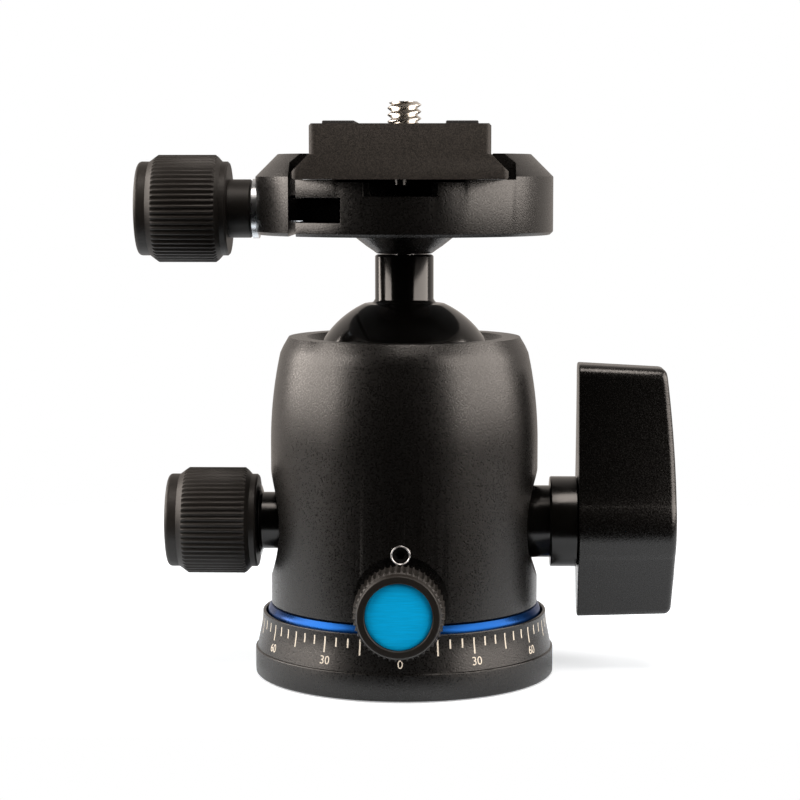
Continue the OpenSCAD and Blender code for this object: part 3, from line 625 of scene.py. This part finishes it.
# %% Base ring
BASE_R, SOCKET_R, FLOOR_Z = 28.4, 7.02, 8.6
SCREWS_R = 12.2     # the four screws stand on this circle
SLOPE = [(28.05, 5.1), (27.75, 6.6), (27.45, 8.0), (27.22, 9.2), (27.06, 10.3), (27.0, 11.5)]
base = lathe("base_shell", [(SOCKET_R, 0), (BASE_R - 0.5, 0)]
             + arc((BASE_R - 0.5, 0.5), 0.5, -90, 0, 5)[1:] + [(BASE_R, 4.85)]
             + arc((BASE_R - 0.15, 4.85), 0.15, 0, 90, 3)[1:] + SLOPE
             + arc((26.85, 11.75), 0.15, 0, 90, 3)
             + [(26.5, 11.9), (26.4, 11.8), (26.4, FLOOR_Z), (SOCKET_R, FLOOR_Z), (SOCKET_R, 0)],
             steps=FINER)
for turn in (45, 135, 225, 315):
    spot = (SCREWS_R * math.cos(math.radians(turn)), SCREWS_R * math.sin(math.radians(turn)), 0)
    drill(base, lathe("cut", [(0, -1), (3.05, -1), (3.0, 0), (1.6, 1.8), (1.6, 10), (0, 10)],
                      COARSE, "Z", spot))
drill(base, rod("cut", 9.0, -1, 1.6))
soften(base, 0.12, 35, 2)
smooth(base, 35)
base.data.materials.append(coat_black)
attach(base, "base")
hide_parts("base_ring")
print("base:", len(base.data.polygons), "faces")


# %% [markdown]
# The scale is engraved and filled with pale paint. Each mark is a thin strip
# that lies in the slope: a short one every five degrees and a long one every
# fifteen. Two strips are modelled, and the rest are copies turned about the
# head's axis.

# %% Marks of the scale
MARK_TOP, SHORT_FOOT, LONG_FOOT = 10.95, 9.3, 8.1
MARK_STEP = 5       # degrees


def slope_r(z):
    """Radius of the scale's face at a height."""
    for (r0, z0), (r1, z1) in zip(SLOPE, SLOPE[1:]):
        if z0 <= z <= z1:
            return r0 + (r1 - r0) * (z - z0) / (z1 - z0)
    return SLOPE[-1][0]


def mark(low, high, width=0.30):
    """One strip, its section spun through the small angle of its width."""
    heights = [low + (high - low) * i / 4 for i in range(5)]
    section = ([(slope_r(z) + 0.015, z) for z in heights]
               + [(slope_r(z) - 0.1, z) for z in reversed(heights)])
    angle = width / slope_r(low)
    strip = outline("mark", section + section[:1])
    edit(strip)
    bpy.ops.mesh.select_all(action="SELECT")
    bpy.ops.mesh.edge_face_add()
    bpy.ops.mesh.spin(steps=2, angle=angle, center=(0, 0, 0), axis=(0, 0, 1))
    bpy.ops.mesh.select_all(action="SELECT")
    bpy.ops.mesh.remove_doubles(threshold=1e-7)
    bpy.ops.mesh.normals_make_consistent(inside=False)
    leave()
    strip.rotation_euler = (0, 0, -math.pi / 2 - angle / 2)
    return settle(strip)


long_mark, short_mark = mark(LONG_FOOT, MARK_TOP), mark(SHORT_FOOT, MARK_TOP)
strips = [settle(copy_of(short_mark if step % 3 else long_mark, "mark", turn=MARK_STEP * step))
          for step in range(1, 360 // MARK_STEP)] + [long_mark]
bpy.data.objects.remove(short_mark)
marks = join(strips, "scale_marks")
marks.data.materials.append(scale_paint)
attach(marks, "base")
print("scale:", len(marks.data.polygons), "faces")


# %% [markdown]
# Numbers stand under the long marks of 0, 30 and 60 degrees, counted both
# ways. Each is flat text turned into a mesh, pressed onto the slope with
# Shrinkwrap and then given the thickness of paint.

# %% Numbers of the scale
def number(text, turn, size=2.15, top=7.75):
    """A number as a thin solid on the slope, turned to its mark."""
    bpy.ops.object.text_add(rotation=(math.pi / 2, 0, 0))
    figure = named("figure")
    figure.data.body = text
    figure.data.size = size * MM
    figure.data.align_x = "CENTER"
    figure.data.align_y = "TOP"
    figure.data.resolution_u = 4
    only(figure)
    bpy.ops.object.convert(target="MESH")
    figure = named("figure")
    figure.location = (0, -BASE_R * MM, top * MM)
    settle(figure)
    modify(figure, "SHRINKWRAP", target=base, wrap_method="PROJECT", use_project_y=True,
           use_positive_direction=True, use_negative_direction=True, offset=0.02 * MM)
    modify(figure, "SOLIDIFY", thickness=0.08 * MM, offset=-1)
    figure.rotation_euler = (0, 0, math.radians(turn))
    return settle(figure)


figures = [number(str(abs(turn)), turn) for turn in (0, 30, -30, 60, -60)]
numbers = join(figures, "scale_numbers")
numbers.data.materials.append(scale_paint)
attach(numbers, "base")
print("numbers:", len(numbers.data.polygons), "faces")


# %% [markdown]
# A thin aluminium ring, anodised blue, sits on the housing's skirt under the
# barrel. Its outer face is drawn with a soft bulge, which carries one long
# highlight round the head.

# %% Blue trim ring
trim = lathe("trim_shell", [(22.5, 11.0), (26.0, 11.0), (26.0, 11.9), (25.95, 12.2), (25.82, 12.5),
                            (25.62, 12.85), (25.42, 13.15), (25.3, 13.18), (22.5, 13.18),
                            (22.5, 11.0)], steps=FINER)
trim.data.materials.append(ring_blue)
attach(trim, "housing")
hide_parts("trim_ring")
print("trim ring:", len(trim.data.polygons), "faces")


# %% [markdown]
# ## Ribbed knobs
#
# The tension knob and the clamp knob are the same moulding: sixty rounded
# ribs between two smooth flanges, and the ribs fade out on a cone at each
# end. The knob is turned with six steps to a rib, and the middle steps of
# every rib are then pushed outwards together. All sixty are equal, and the
# mesh stays closed.

# %% One knob, from its inner face outwards along Z
KNOB_R, KNOB_L, RIBS = 10.1, 17.2, 60
RIB_H, FLANGE_STEP = 0.42, 1.25     # how far a rib and the ribs' cone stand out


def ribbed_knob(name):
    """Flange, cone, ribs, cone and a rounded flange."""
    flange = KNOB_R - FLANGE_STEP
    valley = KNOB_R - RIB_H
    profile = [(0, 0), (flange - 0.3, 0), (flange, 0.3), (flange, 1.3),
               (valley, 2.05), (valley, 2.6), (valley, KNOB_L - 3.9), (valley, KNOB_L - 3.3),
               (flange, KNOB_L - 2.2), (flange, KNOB_L - 0.9)] \
        + arc((flange - 0.75, KNOB_L - 0.75), 0.75, 0, 90, 5) + [(0, KNOB_L)]
    slices = RIBS * 6
    knob = lathe(name, profile, steps=slices)
    crest = math.radians(360 / RIBS)
    edit(knob)

    def on_rib(place):
        z, turn = place.z / MM, math.atan2(place.y, place.x) % crest
        share = turn / crest
        return 2.3 < z < KNOB_L - 3.5 and 0.24 < share < 0.76

    pick(knob, on_rib)
    grow = KNOB_R / valley
    bpy.ops.transform.resize(value=(grow, grow, 1), center_override=(0, 0, 0))
    leave()
    smooth(knob, 60)
    return knob


def fit_knob(knob, side, at, body, node):
    """Lays the knob's axis along X at its place and gives it its finish."""
    knob.rotation_euler = (0, math.radians(side * 90), 0)
    knob.location = [v * MM for v in at]
    settle(knob)
    knob.data.materials.append(knob_black)
    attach(knob, body)
    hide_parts(node)
    return knob


CLAMP_AXIS_Z, TENSION_X, CLAMP_X = 88.1, 27.8, 33.0     # where the two knobs stand
tension_shell = fit_knob(ribbed_knob("tension_knob_shell"), -1, (-TENSION_X, 0, LOCK_Z),
                         "tension_knob", "tension_knob")
clamp_knob_shell = ribbed_knob("clamp_knob_shell")
neck = lathe("neck", [(0, 28.6), (5.1, 28.6), (5.5, 29.0), (5.5, 33.2), (0, 33.2)],
             COARSE, "Z", (0, 0, -CLAMP_X))
clamp_knob_shell = join([clamp_knob_shell, neck], "clamp_knob_shell")
clamp_knob_shell = fit_knob(clamp_knob_shell, -1, (-CLAMP_X, 0, CLAMP_AXIS_Z),
                            "clamp_knob", "clamp_knob")
print("ribbed knob:", len(tension_shell.data.polygons), "faces")


# %% [markdown]
# A turned sleeve keeps the tension knob off the housing. It ends in a thin
# flange that the knob's inner face rests on.

# %% Sleeve behind the tension knob
sleeve = lathe("sleeve_shell", [(3.0, 22.4), (5.4, 22.4), (5.4, 26.9), (6.0, 27.1), (6.65, 27.3),
                                (6.7, 27.38), (6.65, 27.45), (5.5, 27.75), (3.0, 27.75),
                                (3.0, 22.4)], COARSE, "-X", (0, 0, LOCK_Z))
sleeve.data.materials.append(collar_black)
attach(sleeve, "tension_knob")
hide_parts("tension_sleeve")
print("sleeve:", len(sleeve.data.polygons), "faces")


# %% [markdown]
# ## Pan knob
#
# A small knob with pointed teeth. Its front is a plain black ring that
# frames a brushed blue disc. The teeth are made like the ribs of the larger
# knobs: every fourth step of the turned body is pushed outwards to a point.

# %% Teeth, ring and disc
PAN_FACE_Y, PAN_TEETH = 39.0, 48
PAN_ROOT_R, PAN_TIP_R = 7.75, 8.15
pan_shell = lathe("pan_knob_shell", [
    (2.5, 23.1), (4.1, 23.1), (4.1, 29.2), (7.15, 29.2), (7.15, 30.9), (7.55, 31.0),
    (PAN_ROOT_R, 31.3), (PAN_ROOT_R, 31.35), (PAN_ROOT_R, 37.5), (PAN_ROOT_R, 37.55),
    (7.55, 37.75), (7.5, 38.4), (7.35, 38.75)]
    + arc((7.1, 38.75), 0.25, 0, 90, 4)[1:]
    + [(6.15, PAN_FACE_Y), (6.0, 38.9), (5.97, 37.4), (0, 37.4)], steps=PAN_TEETH * 4)
edit(pan_shell)
tooth = 2 * math.pi / PAN_TEETH
pick(pan_shell, lambda p: 31.2 < p.z / MM < 37.6
     and math.hypot(p.x, p.y) > (PAN_ROOT_R - 0.05) * MM
     and abs((math.atan2(p.y, p.x) % tooth) / tooth - 0.5) < 0.2)
grow = PAN_TIP_R / PAN_ROOT_R
bpy.ops.transform.resize(value=(grow, grow, 1), center_override=(0, 0, 0))
leave()
pan_shell.rotation_euler = (math.radians(90), 0, 0)
pan_shell.location = (0, 0, PAN_Z * MM)
settle(pan_shell)
smooth(pan_shell, 25)
pan_shell.data.materials.append(knob_black)
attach(pan_shell, "pan_knob")
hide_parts("pan_knob")

CROWN_R, CROWN_Y, CROWN_TURN = 70, 38.5, 4.8    # the disc's face bulges a little
disc = lathe("blue_disc", [(0, 37.5), (5.95, 37.5), (5.95, 38.2)]
             + arc((0, CROWN_Y - CROWN_R), CROWN_R, 90 - CROWN_TURN, 90, 12),
             FINE, "-Y", (0, 0, PAN_Z))
disc.data.materials.append(disc_blue)
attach(disc, "pan_knob")
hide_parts("pan_cap")
print("pan knob:", len(pan_shell.data.polygons), "faces, disc:", len(disc.data.polygons))


# %% [markdown]
# ## Ball and stem
#
# Ball, collar and stem are turned in one go from the same bar. The sphere is
# cut flat at the top, where a small collar marks the foot of the stem.

# %% Ball and stem
BALL_R, BALL_Z, STEM_R, FLAT_R = 18.15, 53.75, 5.53, 7.6
BOTTOM_TURN = 70    # the ball's underside is cut flat below this angle
flat_z = BALL_Z + math.sqrt(BALL_R ** 2 - FLAT_R ** 2)
flat_turn = math.degrees(math.asin((flat_z - BALL_Z) / BALL_R))
bottom_z = BALL_Z - BALL_R * math.sin(math.radians(BOTTOM_TURN))
ball = lathe("ball_and_stem_shell", arc((0, BALL_Z), BALL_R, -BOTTOM_TURN, flat_turn, 60)
             + [(7.3, flat_z + 0.05), (6.3, flat_z + 0.08), (6.05, flat_z + 0.2),
                (5.75, flat_z + 0.5), (STEM_R, flat_z + 0.9), (STEM_R, 79.1), (5.45, 79.3),
                (5.1, 79.5), (2.56, 79.55), (2.56, 67.2), (0, 67.2)], steps=FINER)
edit(ball)
pick(ball, lambda p: abs(p.z / MM - bottom_z) < 0.01)
bpy.ops.mesh.edge_face_add()
leave()
soften(ball, 0.12, 40, 2)
smooth(ball, 30)
ball.data.materials.append(polished_black)
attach(ball, "ball")
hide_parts("ball_and_stem")
print("ball:", len(ball.data.polygons), "faces, flat at", round(flat_z, 2))


# %% [markdown]
# ## Clamp, jaw and plate
#
# These are milled pieces with flat faces and straight grooves. Their
# construction already has the right form, so a copy of it is merged into
# clean faces and given the rounded edges that blasting leaves.

# %% A softened copy of a construction node
def dress(name, node_name, width_mm, angle=32, segments=3):
    """Copies a node, merges its triangles into faces and rounds its edges."""
    source = nodes[node_name]
    copy = source.copy()
    copy.data = source.data.copy()
    copy.name = name
    copy.data.name = name
    copy.parent = None
    for key in list(copy.keys()):
        del copy[key]
    bpy.context.collection.objects.link(copy)
    copy.data.materials.clear()
    edit(copy)
    bpy.ops.mesh.select_all(action="SELECT")
    bpy.ops.mesh.remove_doubles(threshold=2e-6)
    bpy.ops.mesh.dissolve_limited(angle_limit=math.radians(0.5))
    bpy.ops.mesh.select_all(action="SELECT")
    bpy.ops.mesh.normals_make_consistent(inside=False)
    leave()
    soften(copy, width_mm, angle, segments)
    smooth(copy, 38)
    print(name, len(copy.data.polygons), "faces")
    return copy


# %% [markdown]
# No light comes through under the plate of the real head. The channel in the
# clamp is therefore raised at its rear end, and the plate's foot comes down
# until it nearly touches the clamp.

# %% Clamp, jaw and plate
PLATE_Z = 93.85     # underside of the plate
FOOT_H, SEATED = 1.05, 0.22         # height of its foot, and how far that comes down
CHANNEL_Z, CHANNEL_HALF = 93.25, 11.7       # the clamp's channel, and its half width
CHANNEL_LIFT = 0.5

clamp_shell = dress("clamp_shell", "clamp_body", 0.28)
edit(clamp_shell)
pick(clamp_shell, lambda p: abs(p.z / MM - CHANNEL_Z) < 0.35 and p.y > 5 * MM
     and abs(p.x) < CHANNEL_HALF * MM)
bpy.ops.transform.translate(value=(0, 0, CHANNEL_LIFT * MM))
leave()
clamp_shell.data.materials.append(coat_black)
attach(clamp_shell, "clamp")
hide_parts("clamp_body")

jaw_shell = dress("jaw_shell", "jaw", 0.28)
jaw_shell.data.materials.append(coat_black)
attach(jaw_shell, "jaw")
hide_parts("jaw")

plate_shell = dress("plate_shell", "plate", 0.22)
edit(plate_shell)
pick(plate_shell, lambda p: p.z < (PLATE_Z + FOOT_H) * MM)
bpy.ops.transform.translate(value=(0, 0, -SEATED * MM))
leave()
plate_shell.data.materials.append(plate_black)
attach(plate_shell, "plate")
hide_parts("plate")


# %% [markdown]
# The two strips on the plate are cut from rubber sheet and keep the camera
# from creeping. Each is a cube that is scaled to its size, with its edges
# rounded.

# %% Rubber strips
STRIP = (5.74, 55.9, 1.33)      # width, length and thickness
STRIP_X, STRIP_Z = 10.9, 102.61


def strip_of_rubber(name, x):
    """One strip, with its underside at its height."""
    bpy.ops.object.select_all(action="DESELECT")
    bpy.ops.mesh.primitive_cube_add(size=1)
    strip = named(name)
    strip.scale = [v * MM for v in STRIP]
    strip.location = (x * MM, 0, (STRIP_Z + STRIP[2] / 2) * MM)
    settle(strip)
    soften(strip, 0.25, 30, 3)
    return strip


pads = join([strip_of_rubber("pad", -STRIP_X), strip_of_rubber("pad", STRIP_X)],
            "rubber_strips")
smooth(pads, 30)
pads.data.materials.append(rubber_black)
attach(pads, "plate")
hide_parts("plate_pads")
print("rubber strips:", len(pads.data.polygons), "faces")


# %% [markdown]
# ## Camera screw
#
# A real quarter-inch thread has twenty turns to the inch, 1.27 mm a turn.
# One tooth of the thread is drawn as a small profile and swept up a helix by
# the Screw modifier, then laid over a turned core.

# %% Thread and core
PITCH, THREAD_FOOT, THREAD_TOP = 1.27, 103.7, 108.15
THREAD_R, CORE_R, ROOT_R = 3.17, 2.45, 2.40     # the thread starts inside its core
HEAD_R, HEAD_Z, HEAD_TOP = 7.0, 93.9, 99.7
core = lathe("core", [(0, HEAD_Z), (HEAD_R - 0.2, HEAD_Z), (HEAD_R, HEAD_Z + 0.2),
                      (HEAD_R, HEAD_TOP - 0.1), (HEAD_R - 0.1, HEAD_TOP), (0, HEAD_TOP)], COARSE)
neck = lathe("neck", [(0, HEAD_TOP - 0.2), (2.6, HEAD_TOP - 0.2), (2.6, THREAD_FOOT),
                      (CORE_R, THREAD_FOOT + 0.2), (CORE_R, THREAD_TOP - 0.55),
                      (1.95, THREAD_TOP), (0, THREAD_TOP)], COARSE)
start = THREAD_FOOT - PITCH
helix = outline("helix", [(ROOT_R, start - 0.62), (ROOT_R, start + 0.62), (THREAD_R, start + 0.08),
                          (THREAD_R, start - 0.08), (ROOT_R, start - 0.62)])
modify(helix, "SCREW", axis="Z", screw_offset=PITCH * MM, iterations=5, steps=64, render_steps=64,
       use_merge_vertices=False)
print("thread:", len(helix.data.polygons), "faces")


# %% [markdown]
# The swept tooth is cut level at the foot and at the top, and closed. A turned
# envelope with a chamfered end then trims it, as the real screw is chamfered
# so that it enters the camera without catching.

# %% Trimmed thread
edit(helix)
for height, keep_up in ((THREAD_FOOT + 0.03, True), (THREAD_TOP - 0.05, False)):
    bpy.ops.mesh.select_all(action="SELECT")
    bpy.ops.mesh.bisect(plane_co=(0, 0, height * MM), plane_no=(0, 0, 1), use_fill=True,
                        clear_inner=keep_up, clear_outer=not keep_up)
bpy.ops.mesh.select_all(action="SELECT")
bpy.ops.mesh.remove_doubles(threshold=1e-7)
bpy.ops.mesh.normals_make_consistent(inside=False)
leave()
envelope = lathe("envelope", [(0, THREAD_FOOT - 0.2), (THREAD_R, THREAD_FOOT - 0.2),
                              (THREAD_R, THREAD_TOP - 0.5), (2.65, THREAD_TOP),
                              (0, THREAD_TOP)], COARSE)
modify(helix, "BOOLEAN", operation="INTERSECT", solver="EXACT", object=envelope)
bpy.data.objects.remove(envelope)
screw = smooth(join([core, neck, helix], "camera_screw_shell"), 30)
screw.data.materials.append(nickel)
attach(screw, "camera_screw")
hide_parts("camera_screw")
print("camera screw:", len(screw.data.polygons), "faces")


# %% [markdown]
# ## Lock knob
#
# The big lock knob is a lever on a round hub: a long arm above the screw, whose
# sides sweep in towards a squared tip, and a short tapered arm below it. Its
# outline is drawn once, point by point, and pulled out to a solid. A mould
# needs walls that lean in a little, so the outer rim is drawn in afterwards.

# %% Outline of the lever
HUB_R, KNOB_W, TIP_CORNER = 9.5, 18.5, 2.3
LONG_ARM, LONG_TIP, SHORT_ARM, SHORT_TIP = 30.3, 4.9, 18.0, 3.5     # reaches and half widths
LONG_ROOT, SHORT_ROOT = 29.0, -44.0     # where the arms leave the hub, in degrees
SWEEP, SWEEP_STEPS = 1.6, 12    # how hard the long arm's sides sweep in
DRAFT = (0.905, 0.972, 1)       # share of the outline that the outer rim keeps


def lever_side():
    """The right half of the outline, from the bottom to the top."""
    low, high = math.radians(SHORT_ROOT), math.radians(LONG_ROOT)
    corner_y = LONG_ARM - TIP_CORNER
    root_x, root_y = HUB_R * math.cos(high), HUB_R * math.sin(high)
    lean_in = math.degrees(math.atan2(HUB_R * math.cos(low) - SHORT_TIP,
                                      SHORT_ARM - TIP_CORNER + HUB_R * math.sin(low)))
    side = arc((SHORT_TIP - TIP_CORNER, TIP_CORNER - SHORT_ARM), TIP_CORNER, -90, -lean_in, 7)
    side += arc((0, 0), HUB_R, SHORT_ROOT, LONG_ROOT, 22)
    for share in (step / SWEEP_STEPS for step in range(1, SWEEP_STEPS + 1)):
        side.append((LONG_TIP + (root_x - LONG_TIP) * (1 - share) ** SWEEP,
                     root_y + (corner_y - root_y) * share))
    return side + arc((LONG_TIP - TIP_CORNER, corner_y), TIP_CORNER, 0, 90, 8)[1:]


def rim_of(obj, outer):
    """Where the corners of one rim stand, seen along the screw."""
    return {(round(v.co.x, 6), round(v.co.y, 6)) for v in obj.data.vertices
            if (v.co.z > KNOB_W / 2 * MM) == outer}


side = lever_side()
points = side + [(-x, y) for x, y in reversed(side)]
lever = outline("lock_knob_shell", points + points[:1])
lever.rotation_euler = (-math.pi / 2, 0, 0)
settle(lever)
edit(lever)
bpy.ops.mesh.select_all(action="SELECT")
bpy.ops.mesh.edge_face_add()
bpy.ops.mesh.extrude_region_move(TRANSFORM_OT_translate={"value": (0, 0, KNOB_W * MM)})
bpy.ops.transform.resize(value=DRAFT, center_override=(0, 0, 0))
bpy.ops.mesh.select_all(action="SELECT")
bpy.ops.mesh.normals_make_consistent(inside=False)
leave()
inner_rim, outer_rim = rim_of(lever, False), rim_of(lever, True)
print("lever:", len(points), "points", [round(v / MM, 2) for v in lever.dimensions])


# %% [markdown]
# The outer face is gently domed, and a flat face with no inner corners can't
# bend. It is inset to leave a border for the rounded rim, and the inside of
# the border is divided into small cells.

# %% Cells of the outer face
BORDER = 1.6
edit(lever)
bpy.ops.mesh.select_mode(type="FACE")
pick(lever, lambda p: p.z > (KNOB_W - 0.1) * MM, "polygons")
bpy.ops.mesh.inset(thickness=BORDER * MM)
bpy.ops.mesh.select_mode(type="VERT")
bpy.ops.object.vertex_group_assign_new()
for direction, places_mm in (((0, 1, 0), range(-15, 28, 3)), ((1, 0, 0), (-3.2, 0, 3.2))):
    for place_mm in places_mm:
        bpy.ops.mesh.select_all(action="DESELECT")
        bpy.ops.object.vertex_group_select()
        bpy.ops.mesh.bisect(plane_co=[v * place_mm * MM for v in direction], plane_no=direction)
leave()
lever.vertex_groups.clear()
print("outer face:", len(lever.data.polygons), "faces")


# %% [markdown]
# The corners of the cells are pressed along the screw's axis onto a very large
# sphere. Only then are the two rims rounded: the outer one well, for the
# fingers, and the inner one only a little.

# %% Dome and rounded rims
DOME_R, LOCK_KNOB_X = 220.0, 32.9
OUTER_ROUND, INNER_ROUND = 1.2, 0.35
dome = lathe("dome", arc((0, KNOB_W - DOME_R), DOME_R, 70, 90, 40), steps=96)
top = lever.vertex_groups.new(name="top")
top.add([v.index for v in lever.data.vertices if v.co.z > (KNOB_W - 0.1) * MM], 1.0, "REPLACE")
modify(lever, "SHRINKWRAP", target=dome, wrap_method="PROJECT", use_project_z=True,
       use_positive_direction=True, use_negative_direction=True, vertex_group="top")
bpy.data.objects.remove(dome)
lever.vertex_groups.clear()

for rim, outer, size, steps in ((outer_rim, True, OUTER_ROUND, 5),
                                (inner_rim, False, INNER_ROUND, 3)):
    edit(lever)
    pick(lever, lambda p: (p.z > KNOB_W / 2 * MM) == outer
         and (round(p.x, 6), round(p.y, 6)) in rim)
    bpy.ops.mesh.bevel(offset=size * MM, segments=steps, affect="EDGES", profile=0.5)
    leave()
lever.rotation_euler = (math.pi / 2, 0, math.pi / 2)
lever.location = (LOCK_KNOB_X * MM, 0, LOCK_Z * MM)
settle(lever)
smooth(lever, 30)
lever.data.materials.append(lever_black)
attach(lever, "lock_knob")
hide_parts("lock_knob")
print("lock knob:", len(lever.data.polygons), "faces",
      [round(v / MM, 2) for v in lever.dimensions])


# %% [markdown]
# A turned collar fills the gap between the lock knob and the housing. It has a
# shoulder with a rounded edge, and its polish mirrors the lamps as two thin
# lines.

# %% Collar between the lock knob and the housing
collar = lathe("collar_shell", [(4.0, 22.4), (6.85, 22.4), (6.85, 27.5)]
               + [(6.95, 27.68), (8.3, 27.7)] + arc((8.3, 28.0), 0.3, -90, 0, 4)[1:]
               + [(8.6, 32.6), (8.3, 32.88), (4.0, 32.88), (4.0, 22.4)], FINE, "X", (0, 0, LOCK_Z))
collar.data.materials.append(collar_black)
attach(collar, "lock_knob")
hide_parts("lock_collar")
print("collar:", len(collar.data.polygons), "faces")


# %% [markdown]
# ## Pieces inside the head
#
# Screws, washers, pins and seats keep their construction shape. Each gets
# the finish of its own metal or plastic.

# %% Finishes of the remaining nodes
WEARS = {
    "socket_bush": dull_steel, "pan_spindle": bare_aluminium, "spindle_screws": dull_steel,
    "pan_washer": bearing_white, "keeper_washer": bearing_white, "guide_screw": black_oxide,
    "ball_cup": bearing_white, "disc_spring": bright_steel, "wedge_block": dull_steel,
    "lock_bush": brass, "tension_bush": brass, "pan_bush": brass, "seat_ring": bearing_white,
    "clamp_bolt": dull_steel, "jaw_pins": bright_steel, "jaw_springs": bright_steel,
    "clamp_washer": bright_steel, "clamp_stud": bright_steel, "screw_washer": collar_black,
    "stop_pins": collar_black, "lock_shaft": bright_steel, "lock_pin": dull_steel,
    "tension_stud": bright_steel, "tension_pin": dull_steel, "pan_stud": bright_steel,
    "pan_pad": brass,
}
for node_name, material in WEARS.items():
    for holder in nodes[node_name].material_slots:
        holder.material = material
print("nodes with a finish:", len(WEARS))
